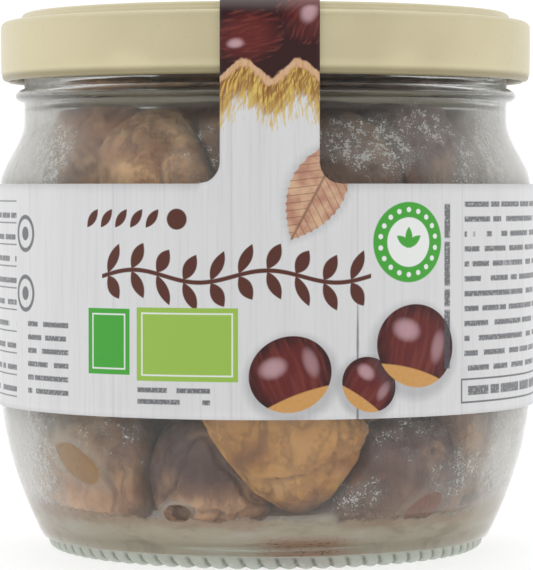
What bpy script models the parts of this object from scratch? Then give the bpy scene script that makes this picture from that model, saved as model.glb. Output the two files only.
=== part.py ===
"""A shut glass jar of whole peeled chestnuts: the jar, its twist-off lid, its paper label and the nuts.

Metres, +Z up. The jar stands on the floor at Z = 0, its axis is the Z axis, and the label's tab, which
goes up over the lid, faces -Y.
"""

import math
import random

import bmesh
import bpy
from mathutils import Euler, Matrix, Vector

MM = 0.001

# The whole jar
BODY_RADIUS = 52.0 * MM
LID_TOP = 104.0 * MM
TURN_STEPS = 54
TOUCH_GAP = 0.3 * MM
MERGE_REACH = 0.002 * MM

# Glass
WALL = 2.6 * MM
RIM_TOP = 101.5 * MM
RIM_RADIUS = 48.6 * MM
RIM_EASE = 0.8 * MM
FINISH_FOOT = 92.6 * MM
NECK_RADIUS = 47.1 * MM
NECK_TOP = 91.2 * MM
BEAD_HEIGHT = 88.0 * MM
BEAD_HALF = 1.35 * MM
BEAD_BULGE = 1.75 * MM
SHOULDER_TOP = 83.0 * MM
SHOULDER_FOOT = 70.5 * MM
SHOULDER_RADIUS = 51.8 * MM
BARREL_TOP = 60.0 * MM
BARREL_FOOT = 34.7 * MM
HEEL_HEIGHT = 2.75 * MM
HEEL_RADIUS = 43.7 * MM
LEDGE_DROP = 0.1 * MM
LEDGE_RADIUS = 42.9 * MM
BASE_RING_HEIGHT = 0.6 * MM
BASE_RING_OUTER = 40.2 * MM
BASE_RING_INNER = 38.0 * MM
PUSH_UP_EDGE = (36.2 * MM, 2.0 * MM)
PUSH_UP_HEIGHT = 3.6 * MM
FLOOR_CENTRE = 6.5 * MM
FLOOR_EDGE = (35.5 * MM, 5.3 * MM)
FLOOR_CORNER_TOP = 15.0 * MM

# Ribs of the bearing ring
RIB_COUNT = 80
RIB_SIDES = 6
RIB_RADIUS = 39.9 * MM
RIB_TOP = 1.9 * MM
RIB_TOP_LENGTH = 3.1 * MM
RIB_TOP_WIDTH = 1.5 * MM
RIB_FOOT_LENGTH = 1.7 * MM
RIB_FOOT_WIDTH = 0.8 * MM

# Lid
LID_SHEET = 0.4 * MM
LID_RADIUS = 51.6 * MM
LID_FOOT = 90.7 * MM
SKIRT_FOOT = 92.4 * MM
SHOULDER_EASE = 1.3 * MM
CHANNEL_TOP = 102.3 * MM
CHANNEL_INNER = 48.3 * MM
PANEL_RADIUS = 46.5 * MM
BUTTON_RADIUS = 14.0 * MM
BUTTON_DROP = 0.5 * MM
BUTTON_SAG = 0.2 * MM
BUTTON_EDGE = 1.5 * MM
PANEL_SAG = 0.1 * MM
PANEL_EDGE_DROP = 1.2 * MM
PANEL_EDGE_IN = 0.4 * MM
CURL_RADIUS = 0.95 * MM
CURL_IN = 0.25 * MM

# Label
PAPER = 0.25 * MM
LABEL_FOOT = 28.4 * MM
LABEL_TOP = 70.9 * MM
LABEL_COLUMNS = 72
TAB_COLUMNS = 4
TAB_SHIFT = 0.8 * MM
TAB_FILLET = 4.0 * MM
FILLET_STEPS = 3
TAB_END = 17.0 * MM
TAB_TOP = LID_TOP + 0.33 * MM

# The tab's bend over the lid's edge, in mm: how far in from the paper's upright face, how far above the
# lid's channel, and how closely it follows the jar's round there, from 0 to 1. Then its landing on the lid's
# panel, in mm: how far out from the panel's edge, and how far below the tab's level.
TAB_BEND = ((0.0, -1.7, 1.0), (0.35, -0.6, 1.0), (1.2, 0.25, 0.5))
TAB_LANDING = ((0.7, 0.07), (-0.3, 0.0))

# Nuts
NUT_WIDTH = 29.0 * MM
NUT_HEIGHT = 26.0 * MM
NUT_DEPTH = 19.0 * MM
NUT_FLATTER = 0.8
NUT_TAPER = 0.22
NUT_SUBDIVISIONS = 2
NUT_SEED = 7
NUT_TOP = 98.0 * MM
NUT_REACH = 3.0 * MM
NUT_EASE = 0.01 * MM
NUT_FLOOR_GAP = 0.5 * MM
CORE_RADIUS = 36.0 * MM
CORE_FOOT = 13.0 * MM
CORE_TOP = 84.0 * MM
CORE_SIDES = 12

# How far each of the rings' nuts is drawn from its even place: degrees, mm, and the range of sizes.
DRAW_AZIMUTH = 4.0
DRAW_HEIGHT = 3.0
DRAW_SIZES = (0.9, 1.12)
DRAW_LEAN = 18.0
DRAW_TURN = 20.0
DRAW_DISTANCES = (-1.5, 0.5)

# Nuts that show at the front: azimuth in degrees from the front towards +X, height and distance from the
# axis in mm, size beside the usual one, and spin, lean and turn in degrees.
FRONT_NUTS = {
    "low_left": (-51, 19.0, 38.5, 1.08, 35, 4, 0),
    "low_left_back": (-76, 33.0, 36.0, 0.98, 80, -10, 10),
    "low_middle": (-12, 18.0, 35.5, 1.00, 100, 5, -8),
    "low_front": (5, 26.0, 38.5, 1.15, 166, 8, 4),
    "low_right": (36, 17.5, 37.0, 1.15, 15, -2, 8),
    "low_far_right": (66, 26.0, 37.0, 1.05, 100, 4, 0),
    "high_far_left": (-62, 76.5, 34.0, 1.00, 20, -12, 0),
    "high_left": (-28, 69.5, 37.0, 1.08, 75, -8, 6),
    "high_middle": (-3, 76.0, 33.5, 0.95, 120, -14, 0),
    "high_right": (22, 71.5, 36.0, 1.00, 45, -10, -6),
    "high_right_back": (46, 75.0, 35.5, 1.00, 150, -12, 4),
    "high_far_right": (73, 71.0, 37.0, 1.05, 95, -6, 0),
}

# Rings of the other nuts: height and distance from the axis in mm, how many, and the first and last
# azimuth in degrees.
NUT_RINGS = (
    (17.0, 37.5, 6, 100, 262),
    (73.5, 36.0, 6, 100, 262),
    (17.0, 15.0, 3, 30, 270),
    (84.0, 16.0, 4, 45, 315),
)


def clear_scene():
    """Takes every object out of the scene."""
    for thing in list(bpy.data.objects):
        bpy.data.objects.remove(thing, do_unlink=True)


def make_collection(name):
    """A new collection under the scene's own."""
    collection = bpy.data.collections.new(name)
    bpy.context.scene.collection.children.link(collection)
    return collection


def make_material(name, colour, roughness, metallic=0.0, transmission=0.0):
    """A Principled material of one colour."""
    material = bpy.data.materials.new(name)
    material.use_nodes = True
    shader = material.node_tree.nodes["Principled BSDF"]
    shader.inputs["Base Color"].default_value = (*colour, 1.0)
    shader.inputs["Roughness"].default_value = roughness
    shader.inputs["Metallic"].default_value = metallic
    shader.inputs["Transmission Weight"].default_value = transmission
    return material


def make_object(name, mesh, collection):
    """An object for a mesh, in a collection."""
    thing = bpy.data.objects.new(name, mesh)
    collection.objects.link(thing)
    return thing


def finish_mesh(mesh, material, sharp_angle):
    """Gives a mesh its material, smooth shading and sharp edges past an angle in degrees."""
    mesh.materials.clear()
    mesh.materials.append(material)
    mesh.shade_smooth()
    mesh.set_sharp_from_angle(angle=math.radians(sharp_angle))


def turned(name, outline, collection):
    """A turned body: an outline of (radius, height) points, carried round the Z axis."""
    mesh = bpy.data.meshes.new(name)
    points = [(radius, 0.0, height) for radius, height in outline]
    mesh.from_pydata(points, [(i, i + 1) for i in range(len(points) - 1)], [])
    thing = make_object(name, mesh, collection)
    screw = thing.modifiers.new("turn", "SCREW")
    screw.axis = "Z"
    screw.steps = TURN_STEPS
    screw.render_steps = TURN_STEPS
    screw.use_merge_vertices = True
    screw.merge_threshold = 5.0 * MERGE_REACH
    return thing


def apply_modifiers(thing):
    """Replaces an object's mesh with what its modifiers make, with double points merged."""
    evaluated = thing.evaluated_get(bpy.context.evaluated_depsgraph_get())
    mesh = bpy.data.meshes.new_from_object(evaluated)
    thing.modifiers.clear()
    old = thing.data
    thing.data = mesh
    bpy.data.meshes.remove(old)
    solid = bmesh.new()
    solid.from_mesh(mesh)
    bmesh.ops.remove_doubles(solid, verts=solid.verts, dist=MERGE_REACH)
    bmesh.ops.dissolve_degenerate(solid, dist=MERGE_REACH, edges=solid.edges)
    solid.to_mesh(mesh)
    solid.free()


def join_pieces(body, pieces, solver):
    """Joins a collection's pieces to a body, and removes them."""
    join = body.modifiers.new("join", "BOOLEAN")
    join.operation = "UNION"
    join.operand_type = "COLLECTION"
    join.collection = pieces
    join.solver = solver
    bpy.context.view_layer.update()
    apply_modifiers(body)
    for piece in list(pieces.objects):
        bpy.data.objects.remove(piece, do_unlink=True)
    bpy.data.collections.remove(pieces)


def arc(centre, size, start, end, steps):
    """Points along an ellipse's arc, both ends included: angles in degrees from the outward direction."""
    points = []
    for i in range(steps + 1):
        angle = math.radians(start + (end - start) * i / steps)
        points.append((centre[0] + size[0] * math.cos(angle), centre[1] + size[1] * math.sin(angle)))
    return points


def smooth_step(share):
    """An even S-curve from 0 to 1."""
    share = min(max(share, 0.0), 1.0)
    return share * share * (3.0 - 2.0 * share)


def outer_radius(height):
    """The glass's outer radius from the heel to the neck: a bowl, a barrel and an S-shaped shoulder."""
    if height < BARREL_FOOT:
        share = (BARREL_FOOT - height) / (BARREL_FOOT - HEEL_HEIGHT)
        return BODY_RADIUS - (BODY_RADIUS - HEEL_RADIUS) * share**2
    if height < SHOULDER_FOOT:
        share = max(0.0, (height - BARREL_TOP) / (SHOULDER_FOOT - BARREL_TOP))
        return BODY_RADIUS - (BODY_RADIUS - SHOULDER_RADIUS) * share
    share = smooth_step((height - SHOULDER_FOOT) / (SHOULDER_TOP - SHOULDER_FOOT))
    return SHOULDER_RADIUS - (SHOULDER_RADIUS - NECK_RADIUS) * share


def inner_radius(height):
    """The glass's inner radius above its floor: a rounded corner, then the wall inside the outer form."""
    corner = outer_radius(FLOOR_CORNER_TOP) - WALL
    if height < FLOOR_CORNER_TOP:
        drop = min((FLOOR_CORNER_TOP - height) / (FLOOR_CORNER_TOP - FLOOR_EDGE[1]), 1.0)
        return FLOOR_EDGE[0] + (corner - FLOOR_EDGE[0]) * math.sqrt(1.0 - drop * drop)
    return outer_radius(height) - WALL


def spread(start, end, steps):
    """Even heights from start to end, both included."""
    return [start + (end - start) * i / steps for i in range(steps + 1)]


def jar_outline():
    """The glass's outline: up the inside, over the rim, down the outside and in underneath."""
    inner_neck = NECK_RADIUS - WALL
    corner = outer_radius(FLOOR_CORNER_TOP) - WALL
    corner_size = (corner - FLOOR_EDGE[0], FLOOR_CORNER_TOP - FLOOR_EDGE[1])
    inside = [(0.0, FLOOR_CENTRE)]
    inside += arc((FLOOR_EDGE[0], FLOOR_CORNER_TOP), corner_size, -90, 0, 4)
    inside += [(inner_radius(z), z) for z in (BARREL_FOOT, SHOULDER_FOOT)]
    inside += [(inner_radius(z), z) for z in spread(SHOULDER_FOOT, SHOULDER_TOP, 2)[1:]]
    rim = [(inner_neck, RIM_TOP - RIM_EASE), (inner_neck + RIM_EASE, RIM_TOP)]
    rim += [(RIM_RADIUS - RIM_EASE, RIM_TOP), (RIM_RADIUS, RIM_TOP - RIM_EASE)]
    finish = [(RIM_RADIUS, FINISH_FOOT), (NECK_RADIUS, NECK_TOP)]
    bead = arc((NECK_RADIUS, BEAD_HEIGHT), (BEAD_BULGE, BEAD_HALF), 90, -90, 4)
    shoulder = [(outer_radius(z), z) for z in spread(SHOULDER_TOP, SHOULDER_FOOT, 4)]
    bowl = [(outer_radius(z), z) for z in [BARREL_TOP] + spread(BARREL_FOOT, HEEL_HEIGHT, 4)]
    corner_centre = (BASE_RING_OUTER, HEEL_HEIGHT - LEDGE_DROP)
    ledge = [(LEDGE_RADIUS, corner_centre[1])]
    base_size = (LEDGE_RADIUS - BASE_RING_OUTER, corner_centre[1] - BASE_RING_HEIGHT)
    base = arc(corner_centre, base_size, 0, -90, 2)[1:]
    under = [(BASE_RING_INNER, BASE_RING_HEIGHT), PUSH_UP_EDGE, (0.0, PUSH_UP_HEIGHT)]
    return inside + rim + finish + bead + shoulder + bowl + ledge + base + under


def make_ribs(collection):
    """The ring of short radial ribs that the jar stands on, each flat underneath."""
    shape = bmesh.new()
    bmesh.ops.create_cone(shape, cap_ends=True, segments=RIB_SIDES, radius1=1.0, radius2=1.0, depth=1.0)
    for corner in shape.verts:
        low = corner.co.z < 0.0
        corner.co.x *= RIB_FOOT_LENGTH if low else RIB_TOP_LENGTH
        corner.co.y *= RIB_FOOT_WIDTH if low else RIB_TOP_WIDTH
        corner.co.z = 0.0 if low else RIB_TOP
    mesh = bpy.data.meshes.new("rib")
    shape.to_mesh(mesh)
    shape.free()
    for i in range(RIB_COUNT):
        rib = make_object(f"rib_{i:02d}", mesh, collection)
        angle = 2.0 * math.pi * i / RIB_COUNT
        rib.location = (RIB_RADIUS * math.cos(angle), RIB_RADIUS * math.sin(angle), 0.0)
        rib.rotation_euler = (0.0, 0.0, angle)


def make_jar(collection):
    """The clear glass jar, with the ribs fused to its base."""
    jar = turned("glass_jar", jar_outline(), collection)
    apply_modifiers(jar)
    ribs = make_collection("rib_pieces")
    make_ribs(ribs)
    join_pieces(jar, ribs, "EXACT")
    finish_mesh(jar.data, make_material("clear_glass", (0.86, 0.9, 0.88), 0.03, transmission=0.9), 40)
    return jar


def lid_outline():
    """The lid's outline: out over the top, down the skirt, round the curl and back inside."""
    centre = LID_TOP - BUTTON_DROP - BUTTON_SAG
    outer = [(0.0, centre), (BUTTON_RADIUS - BUTTON_EDGE, LID_TOP - BUTTON_DROP)]
    outer += [(BUTTON_RADIUS, LID_TOP - PANEL_SAG), (PANEL_RADIUS, LID_TOP)]
    outer += [(CHANNEL_INNER - PANEL_EDGE_IN, LID_TOP - PANEL_EDGE_DROP), (CHANNEL_INNER, CHANNEL_TOP)]
    shoulder = (LID_RADIUS - SHOULDER_EASE, CHANNEL_TOP - SHOULDER_EASE)
    outer += arc(shoulder, (SHOULDER_EASE, SHOULDER_EASE), 90, 0, 2)
    outer += [(LID_RADIUS, SKIRT_FOOT)]
    curl_centre = (LID_RADIUS - CURL_RADIUS - CURL_IN, LID_FOOT + CURL_RADIUS)
    curl = arc(curl_centre, (CURL_RADIUS, CURL_RADIUS), -30, -180, 3)
    inner = [(LID_RADIUS - LID_SHEET, SKIRT_FOOT + CURL_RADIUS)]
    inner += [(LID_RADIUS - LID_SHEET, shoulder[1])]
    inner += [(shoulder[0], CHANNEL_TOP - LID_SHEET)]
    inner += [(CHANNEL_INNER - LID_SHEET, CHANNEL_TOP - LID_SHEET)]
    inner += [(PANEL_RADIUS - LID_SHEET, LID_TOP - LID_SHEET)]
    inner += [(BUTTON_RADIUS, LID_TOP - 2.5 * LID_SHEET), (0.0, centre - LID_SHEET)]
    return outer + curl + inner


def make_lid(collection):
    """The lacquered steel lid, with a raised panel, a pressed button, a skirt and a curled foot."""
    lid = turned("lid", lid_outline(), collection)
    apply_modifiers(lid)
    finish_mesh(lid.data, make_material("gold_lacquer", (0.62, 0.54, 0.34), 0.32, metallic=0.35), 30)
    return lid


def tab_path():
    """The tab's way up, over the lid's edge and in along its top.

    Each point is a distance from the axis, a height, and how closely the paper follows the jar's round there.
    """
    face = BODY_RADIUS + TOUCH_GAP
    path = [(face, LABEL_TOP, 1.0), (face, LABEL_TOP + TAB_FILLET, 1.0)]
    path += [(face - inset * MM, CHANNEL_TOP + rise * MM, hug) for inset, rise, hug in TAB_BEND]
    path += [(PANEL_RADIUS + out * MM, TAB_TOP - drop * MM, 0.0) for out, drop in TAB_LANDING]
    path += [(0.5 * (PANEL_RADIUS + TAB_END), TAB_TOP, 0.0), (TAB_END, TAB_TOP, 0.0)]
    return path


def label_point(angle, reach, height, hug):
    """A point of the label: at an angle from the front, a reach from the axis, and a height.

    hug is 1 where the paper follows the jar's round, and 0 where it lies straight across.
    """
    side = (BODY_RADIUS + TOUCH_GAP) * math.sin(angle)
    round_back = reach * (1.0 - math.cos(angle)) * hug
    if hug == 1.0:
        side = reach * math.sin(angle)
    return Vector((side, round_back - reach, height))


def make_label(collection):
    """The paper label: a band right round the jar, and a tab on round fillets that goes up over the lid."""
    sheet = bmesh.new()
    step = 2.0 * math.pi / LABEL_COLUMNS
    shift = TAB_SHIFT / BODY_RADIUS
    reach = BODY_RADIUS + TOUCH_GAP
    band = []
    for i in range(LABEL_COLUMNS):
        angle = shift + (i - TAB_COLUMNS / 2) * step
        low = sheet.verts.new(label_point(angle, reach, LABEL_FOOT, 1.0))
        high = sheet.verts.new(label_point(angle, reach, LABEL_TOP, 1.0))
        band.append((low, high))
    for i in range(LABEL_COLUMNS):
        low, high = band[i]
        next_low, next_high = band[(i + 1) % LABEL_COLUMNS]
        sheet.faces.new((low, next_low, next_high, high))
    rows = [[band[i][1] for i in range(TAB_COLUMNS + 1)]]
    angles = [shift + (i - TAB_COLUMNS / 2) * step for i in range(TAB_COLUMNS + 1)]
    for distance, height, hug in tab_path()[1:]:
        rows.append([sheet.verts.new(label_point(angle, distance, height, hug)) for angle in angles])
    for lower, upper in zip(rows, rows[1:]):
        for i in range(TAB_COLUMNS):
            sheet.faces.new((lower[i], lower[i + 1], upper[i + 1], upper[i]))
    for edge_column, away in ((0, -1), (TAB_COLUMNS, 1)):
        edge_angle = shift + (edge_column - TAB_COLUMNS / 2) * step
        bend = [rows[1][edge_column]]
        for i in range(1, FILLET_STEPS):
            turn = 0.5 * math.pi * i / FILLET_STEPS
            angle = edge_angle + away * step * (1.0 - math.cos(turn))
            height = LABEL_TOP + TAB_FILLET * (1.0 - math.sin(turn))
            bend.append(sheet.verts.new(label_point(angle, reach, height, 1.0)))
        bend.append(band[(edge_column + away) % LABEL_COLUMNS][1])
        corners = [rows[0][edge_column]] + bend
        sheet.faces.new(corners if away < 0 else corners[::-1])
    bmesh.ops.recalc_face_normals(sheet, faces=sheet.faces)
    mesh = bpy.data.meshes.new("label")
    sheet.to_mesh(mesh)
    sheet.free()
    label = make_object("label", mesh, collection)
    paper = label.modifiers.new("paper", "SOLIDIFY")
    paper.thickness = PAPER
    paper.offset = 1.0
    finish_mesh(mesh, make_material("label_paper", (0.74, 0.74, 0.75), 0.6), 40)
    return label


def nut_places():
    """Every nut's place, size and turn: the named ones, then the rings, which vary by a seeded draw."""
    draw = random.Random(NUT_SEED)
    places = list(FRONT_NUTS.values())
    for height, distance, count, first, last in NUT_RINGS:
        for i in range(count):
            even = first + (last - first) * i / (count - 1)
            azimuth = even + draw.uniform(-DRAW_AZIMUTH, DRAW_AZIMUTH)
            lift = height + draw.uniform(-DRAW_HEIGHT, DRAW_HEIGHT)
            size = draw.uniform(*DRAW_SIZES)
            spin = draw.uniform(0.0, 360.0)
            lean = draw.uniform(-DRAW_LEAN, DRAW_LEAN)
            turn = draw.uniform(-DRAW_TURN, DRAW_TURN)
            away = distance + draw.uniform(*DRAW_DISTANCES)
            places.append((azimuth, lift, away, size, spin, lean, turn))
    return places


def nut_matrix(azimuth, height, distance, spin, lean, turn):
    """Where a nut sits: its domed face looks out from the axis, spun in its own plane, then leant and turned."""
    out = math.radians(azimuth)
    centre = Vector((math.sin(out) * distance * MM, -math.cos(out) * distance * MM, height * MM))
    pose = Euler((math.radians(lean), 0.0, math.radians(turn)), "XYZ").to_matrix()
    pose = pose @ Euler((0.0, math.radians(spin), 0.0), "XYZ").to_matrix()
    facing = Matrix.Rotation(out, 3, "Z")
    return Matrix.Translation(centre) @ (facing @ pose).to_4x4()


def shape_nut(corner, size):
    """A chestnut from a unit ball: domed in front (-Y), flatter behind, tapered to a blunt tip at +Z."""
    x, y, z = corner
    taper = 1.0 - NUT_TAPER * max(z, 0.0) ** 2
    depth = 1.0 if y < 0.0 else NUT_FLATTER
    width = 0.5 * NUT_WIDTH * size * taper
    return Vector((x * width, y * 0.5 * NUT_DEPTH * size * depth * taper, z * 0.5 * NUT_HEIGHT * size))


def keep_inside(point, ease):
    """Draws a point in to the glass, a gap clear of it, so that a nut lies flat against the wall it presses.

    ease is a little more gap, a different one for each nut, so that no two have faces in one plane.
    """
    height = min(max(point.z, FLOOR_CENTRE + NUT_FLOOR_GAP + ease), NUT_TOP)
    reach = math.hypot(point.x, point.y)
    levels = [min(height + step, SHOULDER_TOP) for step in (-NUT_REACH, 0.0, NUT_REACH)]
    slack = TOUCH_GAP + BODY_RADIUS * (1.0 - math.cos(math.pi / TURN_STEPS)) + ease
    limit = min(inner_radius(level) for level in levels) - slack
    scale = min(1.0, limit / reach) if reach > 0.0 else 1.0
    return Vector((point.x * scale, point.y * scale, height))


def make_nuts(collection):
    """The heap of nuts: a core, with every nut that shows fused to it."""
    heap_core = bmesh.new()
    middle = Matrix.Translation((0.0, 0.0, 0.5 * (CORE_FOOT + CORE_TOP)))
    bmesh.ops.create_cone(
        heap_core,
        cap_ends=True,
        segments=CORE_SIDES,
        radius1=CORE_RADIUS,
        radius2=CORE_RADIUS,
        depth=CORE_TOP - CORE_FOOT,
        matrix=middle,
    )
    core_mesh = bpy.data.meshes.new("chestnuts")
    heap_core.to_mesh(core_mesh)
    heap_core.free()
    heap = make_object("chestnuts", core_mesh, collection)
    pieces = make_collection("nut_pieces")
    for number, (azimuth, height, distance, size, spin, lean, turn) in enumerate(nut_places()):
        place = nut_matrix(azimuth, height, distance, spin, lean, turn)
        ball = bmesh.new()
        bmesh.ops.create_icosphere(ball, subdivisions=NUT_SUBDIVISIONS, radius=1.0)
        for corner in ball.verts:
            corner.co = keep_inside(place @ shape_nut(corner.co, size), number * NUT_EASE)
        mesh = bpy.data.meshes.new(f"nut_{number:02d}")
        ball.to_mesh(mesh)
        ball.free()
        make_object(f"nut_{number:02d}", mesh, pieces)
    join_pieces(heap, pieces, "MANIFOLD")
    finish_mesh(heap.data, make_material("peeled_nut", (0.42, 0.28, 0.16), 0.6), 60)
    return heap


def main():
    """Builds the jar, its lid, its label and the nuts in it."""
    clear_scene()
    parts = make_collection("jar_of_chestnuts")
    make_jar(parts)
    make_lid(parts)
    make_label(parts)
    make_nuts(parts)


main()
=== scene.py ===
"""A shut glass jar of whole peeled chestnuts, dressed for a studio picture.

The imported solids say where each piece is. This script replaces them with the fine pieces: a thick clear
jar with its ring of ribs and a starchy haze inside, a lacquered lid, a printed paper label with its tab,
and the nuts themselves. Lengths are in metres. Only the label's flat sheet, the windows, the drifts, the
places of the nuts and the pairs that the glass finish goes by are in millimetres.
"""

from __future__ import annotations

import logging
import math
import random
from dataclasses import dataclass, field
from enum import Enum

import bpy
import numpy as np
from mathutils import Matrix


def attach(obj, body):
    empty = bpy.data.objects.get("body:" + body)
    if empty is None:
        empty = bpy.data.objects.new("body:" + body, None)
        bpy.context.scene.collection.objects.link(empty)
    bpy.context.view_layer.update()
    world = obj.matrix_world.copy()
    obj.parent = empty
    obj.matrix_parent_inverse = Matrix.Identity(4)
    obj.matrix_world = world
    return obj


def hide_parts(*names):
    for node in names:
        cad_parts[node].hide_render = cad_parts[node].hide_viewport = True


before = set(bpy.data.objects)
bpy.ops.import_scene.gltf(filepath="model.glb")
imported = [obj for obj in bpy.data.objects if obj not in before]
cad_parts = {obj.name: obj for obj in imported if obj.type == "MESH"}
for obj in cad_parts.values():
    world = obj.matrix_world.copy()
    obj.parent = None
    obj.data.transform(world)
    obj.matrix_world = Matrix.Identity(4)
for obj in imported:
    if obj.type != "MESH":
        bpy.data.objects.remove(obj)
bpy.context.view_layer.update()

MM = 0.001
LOG = logging.getLogger("jar_of_chestnuts")
HASH_FACTORS = (73856093, 19349663, 83492791)
HASH_SEED_FACTOR = 2654435761
HASH_SPREAD = 1274126177

Pair = tuple[float, float]
Colour = tuple[float, float, float, float]
Socket = bpy.types.NodeSocket
Piece = bpy.types.Object
Material = bpy.types.Material


def linear(red: float, green: float, blue: float) -> Colour:
    """A picture colour, 0 to 255 a channel, as the linear colour that a shader takes.

    Args:
        red: the red channel.
        green: the green channel.
        blue: the blue channel.

    Returns:
        The linear colour with an alpha of 1.
    """
    share = np.array([red, green, blue]) / 255.0
    curve = np.where(share <= 0.04045, share / 12.92, ((share + 0.055) / 1.055) ** 2.4)
    return (float(curve[0]), float(curve[1]), float(curve[2]), 1.0)


def ease(share: np.ndarray) -> np.ndarray:
    """An even S-curve, 3t^2 - 2t^3, from 0 to 1."""
    share = np.clip(share, 0.0, 1.0)
    return share * share * (3.0 - 2.0 * share)


def arc(centre: Pair, size: Pair, start: float, end: float, count: int) -> np.ndarray:
    """Points along an ellipse's arc, in radius and height.

    Args:
        centre: the ellipse's centre.
        size: its half-width and half-height.
        start: the first angle, in degrees from straight out.
        end: the last angle.
        count: how many points, both ends included.

    Returns:
        An array of (radius, height) rows: centre + size * (cos a, sin a).
    """
    angle = np.radians(np.linspace(start, end, count))
    return np.stack([centre[0] + size[0] * np.cos(angle), centre[1] + size[1] * np.sin(angle)], axis=1)


def run(radii: np.ndarray | float, heights: np.ndarray | float) -> np.ndarray:
    """A stretch of outline from its radii and heights."""
    return np.stack(np.broadcast_arrays(radii, heights), axis=1).astype(float)


def lattice_noise(points: np.ndarray, seed: int) -> np.ndarray:
    """Smooth noise from -1 to 1 that repeats nowhere near.

    Each corner of a unit lattice has a value from an integer hash, and a point takes the eased blend of
    the eight corners round it.

    Args:
        points: an array whose last axis is x, y and z, in lattice steps.
        seed: which noise of the family.

    Returns:
        One value a point.
    """
    cell = np.floor(points).astype(np.int64)
    weight = ease(points - cell)
    total = np.zeros(points.shape[:-1])
    for corner in range(8):
        step = np.array([corner & 1, (corner >> 1) & 1, (corner >> 2) & 1])
        key = cell + step
        mixed = seed * HASH_SEED_FACTOR
        for axis, factor in enumerate(HASH_FACTORS):
            mixed = mixed ^ (key[..., axis] * factor)
        mixed = (mixed ^ (mixed >> 13)) * HASH_SPREAD
        value = ((mixed ^ (mixed >> 16)) & 0xFFFF) / 32767.5 - 1.0
        share = np.where(step == 1, weight, 1.0 - weight)
        total += value * share.prod(axis=-1)
    return total


@dataclass
class Skin:
    """A mesh in the making: corners, four-sided faces and three-sided faces, joined sheet by sheet."""

    corners: list[np.ndarray] = field(default_factory=list)
    quads: list[np.ndarray] = field(default_factory=list)
    triangles: list[np.ndarray] = field(default_factory=list)
    count: int = 0

    def add_corners(self, corners: np.ndarray) -> int:
        """Adds corners.

        Args:
            corners: points, in any grid.

        Returns:
            The index of the first.
        """
        first = self.count
        self.corners.append(corners.reshape(-1, 3))
        self.count += len(self.corners[-1])
        return first

    def add_tube(self, rows: np.ndarray, start: np.ndarray, end: np.ndarray) -> None:
        """A closed skin from rings of points, with one pole at each end.

        Args:
            rows: points by ring and by step round the ring.
            start: the pole before the first ring.
            end: the pole after the last ring.
        """
        rings, steps = rows.shape[:2]
        first = self.add_corners(rows)
        poles = self.add_corners(np.stack([start, end]))
        ring, step = np.meshgrid(np.arange(rings - 1), np.arange(steps), indexing="ij")
        here = first + ring * steps + step
        over = first + ring * steps + (step + 1) % steps
        self.quads.append(np.stack([here, here + steps, over + steps, over], axis=-1).reshape(-1, 4))
        around = np.arange(steps)
        after = (around + 1) % steps
        last = first + (rings - 1) * steps
        cap_start = np.stack([np.full(steps, poles), first + around, first + after], axis=-1)
        cap_end = np.stack([np.full(steps, poles + 1), last + after, last + around], axis=-1)
        self.triangles += [cap_start, cap_end]

    def add_sheet(self, points: np.ndarray) -> None:
        """An open sheet from a grid of points.

        Args:
            points: points by row and by column.
        """
        rows, columns = points.shape[:2]
        first = self.add_corners(points)
        index = first + np.arange(rows * columns).reshape(rows, columns)
        faces = np.stack([index[:-1, :-1], index[:-1, 1:], index[1:, 1:], index[1:, :-1]], axis=-1)
        self.quads.append(faces.reshape(-1, 4))

    def build(self, name: str) -> Piece:
        """Puts the arrays into a mesh, and the mesh into an object at the origin.

        Args:
            name: the piece's name.

        Returns:
            The new object, shaded smooth.
        """
        corners = np.concatenate(self.corners)
        quads = np.concatenate(self.quads) if self.quads else np.zeros((0, 4), int)
        triangles = np.concatenate(self.triangles) if self.triangles else np.zeros((0, 3), int)
        mesh = bpy.data.meshes.new(name)
        mesh.vertices.add(len(corners))
        mesh.vertices.foreach_set("co", corners.astype(np.float32).ravel())
        order = np.concatenate([quads.ravel(), triangles.ravel()])
        mesh.loops.add(len(order))
        mesh.loops.foreach_set("vertex_index", order.astype(np.int32))
        starts = [np.arange(len(quads)) * 4, len(quads) * 4 + np.arange(len(triangles)) * 3]
        mesh.polygons.add(len(quads) + len(triangles))
        mesh.polygons.foreach_set("loop_start", np.concatenate(starts).astype(np.int32))
        mesh.update(calc_edges=True)
        mesh.validate()
        mesh.shade_smooth()
        piece = bpy.data.objects.new(name, mesh)
        bpy.context.scene.collection.objects.link(piece)
        return piece


def point_values(piece: Piece, name: str, values: np.ndarray) -> None:
    """Stores one number a corner under a name, for the finish to read."""
    layer = piece.data.attributes.new(name, "FLOAT", "POINT")
    layer.data.foreach_set("value", values.astype(np.float32).ravel())


def point_colours(piece: Piece, name: str, colours: np.ndarray) -> None:
    """Stores one colour a corner under a name, for the finish to read."""
    layer = piece.data.attributes.new(name, "FLOAT_COLOR", "POINT")
    layer.data.foreach_set("color", colours.astype(np.float32).ravel())


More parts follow.
